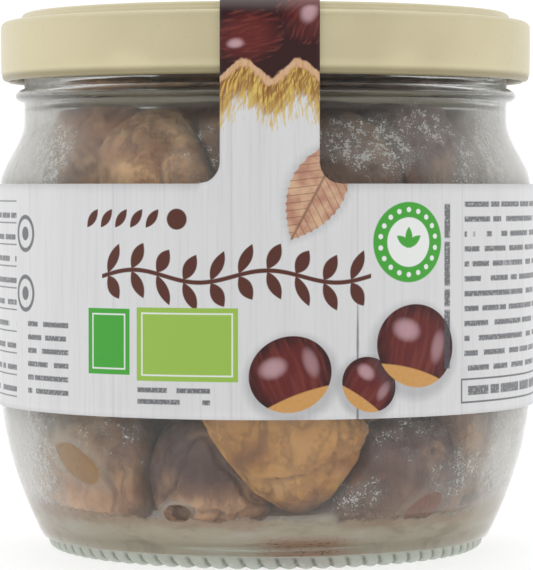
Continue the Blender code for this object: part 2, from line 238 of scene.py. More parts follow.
class Value:
    """A number that varies over a surface, so that sums on it are written as Python."""

    def __init__(self, paint: Paint, source: Socket) -> None:
        """Wraps an output socket of a finish in the making.

        Args:
            paint: the finish.
            source: the socket.
        """
        self.paint = paint
        self.source = source

    def maths(self, operation: str, *terms: Value | float, first: Value | float | None = None) -> Value:
        """One Math node on this value.

        Args:
            operation: the node's operation.
            terms: what goes in after this value.
            first: what goes in before it instead, for the reflected forms.

        Returns:
            The node's output.
        """
        order = [self, *terms] if first is None else [first, self]
        node = self.paint.node("ShaderNodeMath", {"operation": operation}, dict(enumerate(order)))
        return Value(self.paint, node.outputs[0])

    def __add__(self, other: Value | float) -> Value:
        """Their sum."""
        return self.maths("ADD", other)

    def __radd__(self, other: float) -> Value:
        """Their sum."""
        return self.maths("ADD", other)

    def __sub__(self, other: Value | float) -> Value:
        """Their difference."""
        return self.maths("SUBTRACT", other)

    def __rsub__(self, other: float) -> Value:
        """Their difference, the other way."""
        return self.maths("SUBTRACT", first=other)

    def __mul__(self, other: Value | float) -> Value:
        """Their product."""
        return self.maths("MULTIPLY", other)

    def __rmul__(self, other: float) -> Value:
        """Their product."""
        return self.maths("MULTIPLY", other)

    def __truediv__(self, other: Value | float) -> Value:
        """Their quotient."""
        return self.maths("DIVIDE", other)

    def __pow__(self, other: Value | float) -> Value:
        """This value to a power."""
        return self.maths("POWER", other)

    def __abs__(self) -> Value:
        """Its size without its sign."""
        return self.maths("ABSOLUTE")

    def smaller(self, other: Value | float) -> Value:
        """The smaller of two values."""
        return self.maths("MINIMUM", other)

    def larger(self, other: Value | float) -> Value:
        """The larger of two values."""
        return self.maths("MAXIMUM", other)

    def sine(self) -> Value:
        """Its sine, in radians."""
        return self.maths("SINE")

    def floor(self) -> Value:
        """The whole number below it."""
        return self.maths("FLOOR")

    def wrap(self, period: float) -> Value:
        """Its place within a repeat, from 0 to the period."""
        return self.maths("FLOORED_MODULO", period)

    def ramp(self, low: float, high: float, start: float = 0.0, end: float = 1.0) -> Value:
        """Eases from start, where the value is low, to end, where it is high.

        Args:
            low: where it starts.
            high: where it ends, which may be below low.
            start: its value before the start.
            end: its value past the end.

        Returns:
            The eased value.
        """
        sockets = {"Value": self, "From Min": low, "From Max": high, "To Min": start, "To Max": end}
        node = self.paint.node("ShaderNodeMapRange", {"interpolation_type": "SMOOTHSTEP"}, sockets)
        return Value(self.paint, node.outputs[0])


class Blend(Enum):
    """How a colour goes over another."""

    PLAIN = "MIX"
    MULTIPLY = "MULTIPLY"


class Paint:
    """A material in the making, with the few nodes that every finish is made of."""

    def __init__(self, name: str) -> None:
        """Starts a material with an empty tree and its output.

        Args:
            name: the material's name.
        """
        self.material = bpy.data.materials.new(name)
        self.material.use_nodes = True
        self.tree = self.material.node_tree
        self.tree.nodes.clear()
        self.output = self.tree.nodes.new("ShaderNodeOutputMaterial")

    def node(self, kind: str, settings: dict | None = None, sockets: dict | None = None) -> bpy.types.Node:
        """Adds a node.

        Args:
            kind: the node's type.
            settings: its own settings, which are set first.
            sockets: the value or link of each input, by name or number.

        Returns:
            The node.
        """
        node = self.tree.nodes.new(kind)
        for key, value in (settings or {}).items():
            setattr(node, key, value)
        for key, value in (sockets or {}).items():
            self.feed(node.inputs[key], value)
        return node

    def feed(self, socket: Socket, value: object) -> None:
        """Links a value to a socket, or sets the socket where the value is plain.

        Args:
            socket: the input.
            value: a value, an output or a plain number, vector or colour.
        """
        if isinstance(value, Value):
            self.tree.links.new(value.source, socket)
        elif isinstance(value, Socket):
            self.tree.links.new(value, socket)
        else:
            socket.default_value = value

    def place(self) -> Socket:
        """The point's place in the object's own frame, in metres."""
        return self.node("ShaderNodeTexCoord").outputs["Object"]

    def flat(self) -> Socket:
        """The point's place on the piece's own flat pattern."""
        return self.node("ShaderNodeUVMap", {"uv_map": "flat"}).outputs["UV"]

    def split(self, vector: Socket) -> tuple[Value, Value, Value]:
        """A vector's three numbers."""
        node = self.node("ShaderNodeSeparateXYZ", None, {0: vector})
        return tuple(Value(self, output) for output in node.outputs)

    def join(self, x: Value | float, y: Value | float, z: Value | float) -> Socket:
        """A vector from three numbers."""
        return self.node("ShaderNodeCombineXYZ", None, {0: x, 1: y, 2: z}).outputs[0]

    def stretched(self, vector: Socket, scale: tuple[float, float, float]) -> Socket:
        """A vector with its three numbers scaled."""
        return self.node("ShaderNodeMapping", None, {"Vector": vector, "Scale": scale}).outputs[0]

    def noise(self, vector: Socket, scale: float, detail: float = 3.0, rough: float = 0.5) -> Value:
        """Cloudy noise from 0 to 1, with scale features a metre."""
        sockets = {"Vector": vector, "Scale": scale, "Detail": detail, "Roughness": rough}
        return Value(self, self.node("ShaderNodeTexNoise", None, sockets).outputs[0])

    def cells(self, vector: Socket, scale: float) -> Value:
        """The distance to the nearest of scattered points, scale of them a metre."""
        node = self.node("ShaderNodeTexVoronoi", None, {"Vector": vector, "Scale": scale})
        return Value(self, node.outputs["Distance"])

    def stored(self, name: str) -> Value:
        """A number stored on the mesh."""
        return Value(self, self.node("ShaderNodeAttribute", {"attribute_name": name}).outputs["Fac"])

    def stored_colour(self, name: str) -> Socket:
        """A colour stored on the mesh."""
        return self.node("ShaderNodeAttribute", {"attribute_name": name}).outputs["Color"]

    def mix(self, share: object, under: object, over: object, how: Blend = Blend.PLAIN) -> Socket:
        """One colour over another.

        Args:
            share: how much of the upper colour there is.
            under: the lower colour.
            over: the upper colour.
            how: how it goes on.

        Returns:
            The colour.
        """
        settings = {"data_type": "RGBA", "blend_type": how.value, "clamp_factor": True}
        return self.node("ShaderNodeMix", settings, {0: share, 6: under, 7: over}).outputs[2]

    def bump(self, height: Value, depth: float, strength: float = 1.0) -> Socket:
        """A normal from a height, whose unit is a depth in metres."""
        sockets = {"Strength": strength, "Distance": depth, "Height": height}
        return self.node("ShaderNodeBump", None, sockets).outputs[0]

    def shader(self, sockets: dict) -> bpy.types.Node:
        """A Principled shader."""
        return self.node("ShaderNodeBsdfPrincipled", None, sockets)

    def blend(self, share: object, under: Socket, over: Socket) -> Socket:
        """One shader over another."""
        return self.node("ShaderNodeMixShader", None, {0: share, 1: under, 2: over}).outputs[0]

    def finish(self, surface: Socket, volume: Socket | None = None) -> Material:
        """Ends the material on a surface shader and, for what light goes into, a volume.

        Args:
            surface: the surface shader.
            volume: what fills the piece, if light goes in.

        Returns:
            The material.
        """
        self.feed(self.output.inputs["Surface"], surface)
        if volume is not None:
            self.feed(self.output.inputs["Volume"], volume)
        return self.material


@dataclass
class WallMap:
    """How near the nuts come to the jar's wall, by azimuth and height, up to the farthest that counts."""

    columns: int = 240
    rows: int = 96
    row_height: float = 1.1 * MM
    farthest: float = 9.0 * MM
    smoothings: int = 3
    gaps: np.ndarray = field(init=False)

    def __post_init__(self) -> None:
        """Starts with nothing near."""
        self.gaps = np.full((self.columns, self.rows), self.farthest)

    def cell(self, points: np.ndarray) -> tuple[np.ndarray, np.ndarray]:
        """Where points fall on the grid, in columns and rows.

        Args:
            points: points in the jar's frame.

        Returns:
            The column and the row of each, with their fractions.
        """
        column = np.arctan2(points[:, 1], points[:, 0]) / (2.0 * np.pi) * self.columns
        return column % self.columns, np.clip(points[:, 2] / self.row_height, 0.0, self.rows - 1.001)

    def mark(self, points: np.ndarray, gaps: np.ndarray) -> None:
        """Keeps the smallest gap at each cell that the points reach.

        Args:
            points: points in the jar's frame.
            gaps: the gap at each.
        """
        column, row = (place.astype(int) for place in self.cell(points))
        for shift in (0, 1):
            np.minimum.at(self.gaps, ((column + shift) % self.columns, row), gaps)

    def smooth(self) -> None:
        """Evens the grid out: each cell takes half of itself and a quarter of each neighbour, a few times."""
        for _ in range(self.smoothings):
            for axis in (0, 1):
                beside = np.roll(self.gaps, 1, axis) + np.roll(self.gaps, -1, axis)
                self.gaps = 0.5 * self.gaps + 0.25 * beside

    def gap(self, points: np.ndarray) -> np.ndarray:
        """The gap at each point, blended between the four nearest cells.

        Args:
            points: points in the jar's frame.

        Returns:
            Their gaps.
        """
        column, row = self.cell(points)
        left, low = column.astype(int) % self.columns, row.astype(int)
        across, up = column - np.floor(column), row - low
        right = (left + 1) % self.columns
        lower = self.gaps[left, low] * (1.0 - across) + self.gaps[right, low] * across
        upper = self.gaps[left, low + 1] * (1.0 - across) + self.gaps[right, low + 1] * across
        return lower * (1.0 - up) + upper * up


@dataclass(frozen=True)
class PressPatch:
    """A window where a nut presses the glass, so that the nut shows there wet and clear of starch.

    The azimuth is in degrees from the front towards +X, the lengths are in mm, and the tilt is in degrees.
    """

    azimuth: float
    height: float
    half_wide: float
    half_tall: float
    tilt: float
    tone: Colour

    def away(self, points: np.ndarray) -> np.ndarray:
        """How far each point near the wall is from the window's middle, where 1 is its edge.

        The window is a tilted ellipse on the wall, with noise in its outline: |(u / a, v / b)| + 0.12 noise.

        Args:
            points: points in the jar's frame.

        Returns:
            The distance, in the window's own half-sizes.
        """
        reach = np.hypot(points[:, 0], points[:, 1])
        azimuth = np.degrees(np.arctan2(points[:, 0], -points[:, 1]))
        across = np.radians((azimuth - self.azimuth + 180.0) % 360.0 - 180.0) * reach / MM
        up = points[:, 2] / MM - self.height
        cosine, sine = math.cos(math.radians(self.tilt)), math.sin(math.radians(self.tilt))
        u = (across * cosine + up * sine) / self.half_wide
        v = (up * cosine - across * sine) / self.half_tall
        return np.hypot(u, v) + 0.12 * lattice_noise(points / (2.5 * MM), 17)


PRESS_PATCHES = (
    PressPatch(-46.0, 19.3, 5.7, 2.9, -27.0, linear(160, 112, 38)),
    PressPatch(39.6, 11.5, 4.4, 2.3, 24.0, linear(138, 88, 66)),
    PressPatch(-20.4, 10.9, 2.6, 1.7, 5.0, linear(120, 88, 58)),
)


@dataclass(frozen=True)
class StarchDrift:
    """Where crumbs of dried starch lie thick on the inner face.

    The azimuth is in degrees from the front towards +X, the lengths are in mm, and strength is from 0 to 1.
    """

    azimuth: float
    height: float
    half_wide: float
    half_tall: float
    strength: float

    def thickness(self, points: np.ndarray) -> np.ndarray:
        """How thick the crumbs lie: the strength in the middle, eased to 0 at 1.3 half-sizes.

        Args:
            points: points in the jar's frame.

        Returns:
            One value a point.
        """
        reach = np.hypot(points[:, 0], points[:, 1])
        azimuth = np.degrees(np.arctan2(points[:, 0], -points[:, 1]))
        across = np.radians((azimuth - self.azimuth + 180.0) % 360.0 - 180.0) * reach / MM
        away = np.hypot(across / self.half_wide, (points[:, 2] / MM - self.height) / self.half_tall)
        return self.strength * ease((1.3 - away) / 0.9)


STARCH_DRIFTS = (
    StarchDrift(-60, 75, 10, 8, 1.7),
    StarchDrift(-47, 72, 6, 4, 0.45),
    StarchDrift(-14, 76, 7, 7, 0.4),
    StarchDrift(24, 78, 13, 7, 0.85),
    StarchDrift(41, 81, 11, 6, 0.7),
    StarchDrift(52, 74, 9, 7, 0.7),
    StarchDrift(68, 76, 11, 9, 1.6),
    StarchDrift(-66, 20, 12, 13, 1.2),
    StarchDrift(-36, 25, 9, 5, 0.5),
    StarchDrift(-56, 9, 8, 4, 0.7),
    StarchDrift(22, 14, 6, 5, 0.6),
    StarchDrift(30, 24, 10, 6, 0.5),
    StarchDrift(48, 17, 9, 8, 0.7),
    StarchDrift(68, 22, 11, 13, 1.0),
    StarchDrift(130, 40, 30, 40, 0.6),
    StarchDrift(-130, 40, 30, 40, 0.6),
)


@dataclass(frozen=True)
class WallFace:
    """What the glass finish goes by at each point of the wall: places in mm, stored shares and noises."""

    place: Socket
    x: Value
    y: Value
    height: Value
    out: Value
    inner: Value
    press: Value
    drift: Value
    valley: Value
    broad: Value
    clumps: Value
    touch: Value
    near: Value
    edge: Value
    side: Value
    heavy: Value


@dataclass(frozen=True)
class ClearGlass:
    """Soda-lime glass, faintly green in its depth, with dried starch on its inner face.

    The glass lets the lamps light what is inside. The starch is a film that scatters what is seen through it,
    with crumbly specks, and there is none where a nut presses the glass. A pair, in mm, says where something
    begins and where it is full.
    """

    tint: Colour = (0.72, 0.92, 0.84, 1.0)
    depth: float = 10.0
    index: float = 1.5
    gloss: float = 0.5
    haze_colour: Colour = linear(236, 231, 222)
    silt_colour: Colour = linear(224, 212, 190)
    dreg_colour: Colour = linear(160, 140, 118)
    smear_colour: Colour = linear(192, 140, 106)
    grit_colour: Colour = linear(110, 60, 42)
    # painted highlight for the base's ribs, and painted shade for the valleys between them
    rib_highlight_colour: Colour = linear(238, 250, 243)
    valley_shade_colour: Colour = linear(92, 108, 98)
    # the white of the crumbs, and of the jar's sides, where it is partly a painted highlight
    speck_and_side_highlight_colour: Colour = linear(252, 251, 248)
    flesh_colour: Colour = linear(190, 152, 128)
    touching: Pair = (2.2, 0.4)
    near_by: Pair = (7.0, 3.0)
    side_reach: Pair = (33.0, 46.0)
    shoulder_height: Pair = (62.0, 66.0)
    window_foot: Pair = (9.8, 9.2)
    silt_between: Pair = (15.0, 9.0)
    silt_below: Pair = (10.6, 9.2)
    silt_floor: Pair = (30.0, 38.0)
    flesh_foot: Pair = (7.4, 9.2)
    flesh_top: Pair = (13.0, 10.0)
    smear_middle: float = 7.0
    smear_reach: Pair = (11.0, 3.0)
    smear_height: Pair = (7.5, 5.5)
    rib_highlight_height: Pair = (3.0, 2.3)
    rib_highlight_reach: Pair = (37.5, 39.0)

    def face(self, paint: Paint) -> WallFace:
        """Reads the wall's places, stored values and noises into a finish in the making.

        Args:
            paint: the finish.

        Returns:
            What the rest of the finish goes by.
        """
        place = paint.place()
        x, y, z = (part * 1000.0 for part in paint.split(place))
        broad = paint.noise(place, 60.0, 3.0, 0.6)
        clumps = paint.noise(place, 230.0, 4.0, 0.75)
        gap, drift = paint.stored("gap"), paint.stored("drift")
        touch = (gap + (broad - 0.5) * 1.6).ramp(*self.touching)
        return WallFace(
            place=place,
            x=x,
            y=y,
            height=z,
            out=(x * x + y * y) ** 0.5,
            inner=paint.stored("inner"),
            press=paint.stored("press"),
            drift=drift,
            valley=paint.stored("valley"),
            broad=broad,
            clumps=clumps,
            touch=touch,
            near=(gap + (broad - 0.5) * 3.0).ramp(*self.near_by),
            edge=z + (clumps - 0.5) * 4.0 + (broad - 0.5) * 3.0,
            # side: the jar's left and right as seen from the front, whose thicker, whiter starch is partly a
            # painted highlight
            side=(abs(x) + (broad - 0.5) * 14.0).ramp(*self.side_reach) * y.ramp(30.0, -10.0, 0.45, 1.0),
            heavy=clumps + drift * 0.46 + (broad - 0.5) * 0.3 - touch * 0.05,
        )

    def silt(self, face: WallFace) -> Value:
        """How far silt covers the foot: high up between the nuts, and only low down where a nut is near.

        Args:
            face: what the finish goes by.

        Returns:
            The share, from 0 to 1.
        """
        between = face.edge.ramp(*self.silt_between) * (1.0 - face.near * 0.9)
        below = face.edge.ramp(*self.silt_below)
        return between.larger(below) * face.out.ramp(*self.silt_floor, 0.8, 1.0)

    def crumbs(self, paint: Paint, face: WallFace) -> Value:
        """Crumbs of starch: dots that swell where it lies heavy, and ragged crusts where it is heaviest.

        Args:
            paint: the finish.
            face: what it goes by.

        Returns:
            How far the crumbs hide what is behind them.
        """
        uneven = paint.noise(face.place, 800.0, 2.0, 0.8)
        swell = face.heavy.ramp(0.48, 1.05, 0.0, 0.5) * uneven.ramp(0.36, 0.62, 0.2, 1.5)
        grains = (paint.cells(face.place, 2500.0) - swell).ramp(0.06, -0.06)
        crust = uneven.ramp(0.56, 0.62) * face.heavy.ramp(0.72, 0.9)
        return grains.larger(crust * 0.8) * face.heavy.ramp(0.44, 0.56) * (0.62 + face.side * 0.32)

    def film(self, paint: Paint, face: WallFace, silt: Value) -> Value:
        """The even part of the starch: thin in front, a rim round each window, silt, and streaky sides that
        are partly a painted highlight.

        Args:
            paint: the finish.
            face: what it goes by.
            silt: how far silt covers the foot.

        Returns:
            How far the film hides what is behind it.
        """
        rim = face.press.ramp(0.96, 1.02) * face.press.ramp(1.9, 1.1)
        thin = (face.broad.ramp(0.4, 0.75, 0.02, 0.1) + rim * 0.4) * (1.0 - face.touch * 0.5)
        streaks = paint.noise(paint.stretched(face.place, (1.0, 1.0, 0.22)), 420.0, 3.0, 0.6)
        sides = (streaks * 0.6 + face.clumps * 0.4).ramp(0.3, 0.7, 0.42, 0.84)
        shoulders = face.height.ramp(*self.shoulder_height) * 0.15
        return thin + silt * 0.95 + face.side * (sides + shoulders) + face.heavy.ramp(0.55, 0.95) * 0.24

    def colour(self, paint: Paint, face: WallFace, silt: Value, crumbs: Value, foot: Value) -> Socket:
        """The starch's colour, with layered silt, a smear of flesh and grit, and on the ribs of the base a
        painted pale highlight with painted shade in their valleys.

        Args:
            paint: the finish.
            face: what it goes by.
            silt: how far silt covers the foot.
            crumbs: how thick the crumbs lie.
            foot: 1 on the ribs of the base, where the painted highlight and the painted valley shade go.

        Returns:
            The colour.
        """
        # crumbs and the jar's sides go white; at the sides this is partly a painted highlight
        colour = paint.mix((crumbs * 1.2).larger(face.side * 0.5), self.haze_colour, self.speck_and_side_highlight_colour)
        layers = paint.noise(paint.stretched(face.place, (1.0, 1.0, 3.5)), 110.0, 4.0, 0.65)
        settled = paint.mix(layers.ramp(0.5, 0.7) * 0.5, self.silt_colour, self.dreg_colour)
        settled = paint.mix(layers.ramp(0.46, 0.3) * 0.6, settled, self.haze_colour)
        colour = paint.mix(silt * (1.0 - face.drift * 0.5), colour, settled)
        flesh = face.near * face.edge.ramp(*self.flesh_foot) * face.edge.ramp(*self.flesh_top)
        colour = paint.mix(flesh * 0.5, colour, self.flesh_colour)
        smear = abs(face.x - self.smear_middle).ramp(*self.smear_reach) * face.height.ramp(*self.smear_height)
        smear = smear * (1.0 - foot)
        colour = paint.mix(smear * face.y.ramp(0.0, -30.0) * 0.85, colour, self.smear_colour)
        debris = paint.noise(face.place, 900.0, 3.0, 0.8).ramp(0.56, 0.62)
        colour = paint.mix(smear * debris, colour, self.grit_colour)
        # painted highlight on the ribs of the base, and painted shade in the valleys between them
        ribs = paint.mix(face.valley, self.rib_highlight_colour, self.valley_shade_colour)
        return paint.mix(foot, colour, ribs)

    def clear(self, paint: Paint, face: WallFace, dry: Value) -> Socket:
        """The bare glass, which lets lamp rays straight through.

        Args:
            paint: the finish.
            face: what it goes by.
            dry: 1 on the inner face away from the windows.

        Returns:
            The glass shader.
        """
        waves = paint.noise(paint.stretched(face.place, (1.0, 1.0, 0.5)), 90.0, 1.0)
        glass = paint.shader({
            "Base Color": (1.0, 1.0, 1.0, 1.0),
            "Roughness": dry * (0.07 + face.height.ramp(60.0, 80.0) * 0.12) * (1.0 - face.touch * 0.6),
            "IOR": self.index,
            "Transmission Weight": 1.0,
            "Specular Tint": (self.gloss, self.gloss, self.gloss, 1.0),
            "Normal": paint.bump(waves, 0.00006, 0.5),
        })
        lamp_ray = paint.node("ShaderNodeLightPath").outputs["Is Shadow Ray"]
        open_air = paint.node("ShaderNodeBsdfTransparent", None, {"Color": (0.97, 0.98, 0.97, 1.0)})
        return paint.blend(lamp_ray, glass.outputs[0], open_air.outputs[0])

    def material(self) -> Material:
        """The jar's one finish; the stored inner value says where its inner face is.

        Returns:
            The material.
        """
        paint = Paint("clear_glass")
        face = self.face(paint)
        dry = face.inner * face.press.ramp(0.97, 1.03).larger(face.height.ramp(*self.window_foot))
        # foot: the ribbed band of the base's outer face, which takes a painted highlight
        foot = face.height.ramp(*self.rib_highlight_height) * face.out.ramp(*self.rib_highlight_reach) * (1.0 - face.inner)
        silt = self.silt(face)
        crumbs = self.crumbs(paint, face)
        cover = (self.film(paint, face, silt) + crumbs).smaller(0.97) * dry
        # the painted rib highlight and valley shade lie over the clear glass of the base
        cover = cover.larger(foot * (0.46 + face.valley * 0.2))
        colour = self.colour(paint, face, silt, crumbs, foot)
        dust = paint.shader({"Base Color": colour, "Roughness": 0.9, "Specular IOR Level": 0.1})
        glow = paint.node("ShaderNodeBsdfTranslucent", None, {"Color": self.haze_colour})
        starch = paint.blend(0.18, dust.outputs[0], glow.outputs[0])
        inside = paint.node("ShaderNodeVolumeAbsorption", None, {"Color": self.tint, "Density": self.depth})
        return paint.finish(paint.blend(cover, self.clear(paint, face, dry), starch), inside.outputs[0])


@dataclass
class GlassJar:
    """The jar: a bowl, a barrel, an S-shaped shoulder, a beaded neck, a rim and ribs to stand on."""

    body_radius: float = 52.0 * MM
    wall: float = 2.6 * MM
    neck_radius: float = 47.1 * MM
    shoulder_radius: float = 51.8 * MM
    shoulder_top: float = 83.0 * MM
    shoulder_foot: float = 70.5 * MM
    barrel_top: float = 60.0 * MM
    barrel_foot: float = 34.7 * MM
    heel_height: float = 2.75 * MM
    heel_radius: float = 43.7 * MM
    ledge_radius: float = 42.3 * MM
    ring_height: float = 0.7 * MM
    ring_outer: float = 40.2 * MM
    ring_inner: float = 38.0 * MM
    push_up_radius: float = 36.2 * MM
    push_up_edge: float = 2.0 * MM
    push_up_height: float = 3.6 * MM
    pole_ring: float = 4.0 * MM
    floor_centre: float = 6.5 * MM
    floor_radius: float = 35.5 * MM
    floor_edge: float = 5.3 * MM
    corner_top: float = 15.0 * MM
    seen_step: float = 1.2 * MM
    hidden_foot: float = 30.0 * MM
    hidden_top: float = 68.0 * MM
    rim_top: float = 101.5 * MM
    rim_radius: float = 48.6 * MM
    rim_round: float = 1.6 * MM
    finish_foot: float = 92.6 * MM
    neck_top: float = 91.2 * MM
    bead_height: float = 88.0 * MM
    bead_half: float = 1.35 * MM
    bead_bulge: float = 1.75 * MM
    ribs: int = 80
    steps_a_rib: int = 6
    rib_rise: float = 0.72 * MM
    rib_lean: float = 0.5
    rib_fullness: float = 0.6
    valley_start: float = 0.75
    valley_fade: float = 0.4
    farthest_window: float = 3.0
    finish: ClearGlass = field(default_factory=ClearGlass)

    def outer_radius(self, height: np.ndarray | float) -> np.ndarray:
        """The outer radius at a height: a parabola below the barrel, and an eased step above it.

        Args:
            height: one height or more.

        Returns:
            The radius at each.
        """
        height = np.asarray(height, float)
        fall = np.clip((self.barrel_foot - height) / (self.barrel_foot - self.heel_height), 0.0, None)
        bowl = self.body_radius - (self.body_radius - self.heel_radius) * fall**2
        lean = np.clip((height - self.barrel_top) / (self.shoulder_foot - self.barrel_top), 0.0, 1.0)
        barrel = bowl - (self.body_radius - self.shoulder_radius) * lean
        turn = ease((height - self.shoulder_foot) / (self.shoulder_top - self.shoulder_foot))
        return barrel - (self.shoulder_radius - self.neck_radius) * turn

    def inner_radius(self, height: np.ndarray) -> np.ndarray:
        """The inner radius at a height: a quarter ellipse at the floor's corner, then the wall's inside.

        Args:
            height: one height or more.

        Returns:
            The radius at each.
        """
        height = np.asarray(height, float)
        corner = float(self.outer_radius(self.corner_top)) - self.wall
        drop = np.clip((self.corner_top - height) / (self.corner_top - self.floor_edge), 0.0, 1.0)
        bend = self.floor_radius + (corner - self.floor_radius) * np.sqrt(1.0 - drop * drop)
        return np.where(height < self.corner_top, bend, self.outer_radius(height) - self.wall)

    def floor_height(self, radius: np.ndarray) -> np.ndarray:
        """The inner floor's height at a radius: a low dome."""
        return self.floor_centre - (self.floor_centre - self.floor_edge) * (radius / self.floor_radius) ** 2

    def inside_outline(self) -> np.ndarray:
        """The outline's inner part, up to the neck, in plainer steps where the label hides it.

        Returns:
            Rows of radius and height.
        """
        floor_radii = np.linspace(self.pole_ring, self.floor_radius, 7)
        floor_part = run(floor_radii, self.floor_height(floor_radii))
        corner = float(self.outer_radius(self.corner_top)) - self.wall
        corner_size = (corner - self.floor_radius, self.corner_top - self.floor_edge)
        bend = arc((self.floor_radius, self.corner_top), corner_size, -90.0, 0.0, 12)[1:]
        step = self.seen_step
        heights = np.concatenate([
            np.arange(self.corner_top + step, self.hidden_foot, step),
            np.linspace(self.hidden_foot + MM, self.hidden_top, 8),
            np.arange(self.hidden_top + MM, self.bead_height, step),
        ])
        return np.concatenate([floor_part, bend, run(self.inner_radius(heights), heights)])

    def outside_outline(self) -> tuple[np.ndarray, np.ndarray]:
        """The outline's outer part, from the rim down and in underneath, and where the ribs raise it.

        Returns:
            Rows of radius and height, and the share of the ribs' rise at each.
        """
        mouth = self.neck_radius - self.wall
        size = (self.rim_round, self.rim_round)
        bend_height = self.rim_top - self.rim_round
        inner_bend = arc((mouth + self.rim_round, bend_height), size, 180.0, 90.0, 4)
        outer_bend = arc((self.rim_radius - self.rim_round, bend_height), size, 90.0, 0.0, 4)
        slope = np.linspace(0.0, 1.0, 6)
        flare = run(
            self.rim_radius - (self.rim_radius - self.neck_radius) * ease(slope),
            self.finish_foot - (self.finish_foot - self.neck_top) * slope,
        )
        swell = np.linspace(1.0, -1.0, 15)
        bulge = self.bead_bulge * (1.0 - swell**2) ** 0.75
        bead = run(self.neck_radius + bulge, self.bead_height + self.bead_half * swell)
        shoulder_heights = np.linspace(self.shoulder_top + 1.5 * MM, self.shoulder_foot, 16)
        low_heights = np.concatenate([[self.barrel_top], np.linspace(self.barrel_foot, self.heel_height, 22)])
        body_heights = np.concatenate([shoulder_heights, low_heights])
        body = run(self.outer_radius(body_heights), body_heights)
        ledge_height = self.heel_height - 0.1 * MM
        ledge = run(np.array([self.heel_radius - 0.25 * MM, self.ledge_radius + 0.1 * MM]), ledge_height)
        bend_size = (self.ledge_radius - self.ring_outer, ledge_height - self.ring_height)
        bend = arc((self.ring_outer, ledge_height), bend_size, 0.0, -90.0, 10)
        ring_radii = np.linspace(self.ring_outer, self.ring_inner, 4)[1:]
        ring = run(ring_radii, self.ring_height)
        rise_share = np.linspace(0.0, 1.0, 5)[1:]
        rise = run(
            self.ring_inner - (self.ring_inner - self.push_up_radius) * rise_share,
            self.ring_height + (self.push_up_edge - self.ring_height) * ease(rise_share),
        )
        dome_radii = np.linspace(self.push_up_radius, self.pole_ring, 6)[1:]
        dome_share = 1.0 - (dome_radii / self.push_up_radius) ** 2
        dome_rise = (self.push_up_height - self.push_up_edge) * dome_share
        dome = run(dome_radii, self.push_up_edge + dome_rise)
        plain = [inner_bend, outer_bend, flare, bead, body, ledge]
        ribbed = [bend, ring, rise]
        outline = np.concatenate(plain + ribbed + [dome])
        raised = np.zeros(len(outline))
        first = sum(len(part) for part in plain)
        last = first + sum(len(part) for part in ribbed)
        along = np.linspace(0.0, 1.0, last - first)
        raised[first:last] = np.minimum(1.0, 1.25 * np.sin(np.pi * np.minimum(along, 0.93)) ** 0.9)
        return outline, raised

    def build(self, touched: WallMap) -> Piece:
        """Makes the jar.

        The outline is carried round the axis. At the base each point is pushed out along the outline's normal
        by rib_rise * |cos(half a rib's turn)| ^ rib_fullness, which gives round ribs with sharp valleys, and
        the turn shifts with the height, so that each rib leans.

        Args:
            touched: how near the nuts come to the wall.

        Returns:
            The jar, with its inner face and its wet windows marked.
        """
        inside = self.inside_outline()
        outside, raised = self.outside_outline()
        outline = np.concatenate([inside, outside])
        lift = np.concatenate([np.zeros(len(inside)), raised])
        along = np.gradient(outline, axis=0)
        normal = np.stack([-along[:, 1], along[:, 0]], axis=1)
        normal /= np.linalg.norm(normal, axis=1, keepdims=True)
        steps = self.ribs * self.steps_a_rib
        angle = 2.0 * np.pi * np.arange(steps) / steps
        phase = self.rib_lean * np.pi * (self.heel_height - outline[:, 1]) / self.heel_height
        ripple = np.abs(np.cos(0.5 * self.ribs * angle[None, :] - phase[:, None])) ** self.rib_fullness
        push = self.rib_rise * lift[:, None] * ripple
        radius = outline[:, 0, None] + normal[:, 0, None] * push
        height = outline[:, 1, None] + normal[:, 1, None] * push
        height = np.maximum(height, 0.0)
        rows = np.stack([radius * np.cos(angle), radius * np.sin(angle), height], axis=-1)
        # valley: where the painted shade between the ribs goes
        valley = np.clip((self.valley_start - ripple) / self.valley_fade, 0.0, 1.0)
        valley *= np.minimum(lift[:, None] * 2.0, 1.0)
        skin = Skin()
        floor_pole = np.array([0.0, 0.0, self.floor_centre])
        base_pole = np.array([0.0, 0.0, self.push_up_height])
        skin.add_tube(rows, floor_pole, base_pole)
        jar = skin.build("jar_glass")
        jar.data.materials.append(self.finish.material())
        corners = np.concatenate(skin.corners)
        dusted = np.zeros(len(corners))
        dusted[: len(inside) * steps] = 1.0
        dusted[len(outline) * steps] = 1.0
        point_values(jar, "inner", dusted)
        point_values(jar, "valley", np.concatenate([valley.ravel(), np.zeros(2)]))
        windows = [patch.away(corners) for patch in PRESS_PATCHES]
        point_values(jar, "press", np.minimum(np.min(windows, axis=0), self.farthest_window))
        touched.smooth()
        point_values(jar, "gap", touched.gap(corners) / MM)
        point_values(jar, "drift", np.max([drift.thickness(corners) for drift in STARCH_DRIFTS], axis=0))
        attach(jar, "root")
        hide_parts("glass_jar")
        return jar


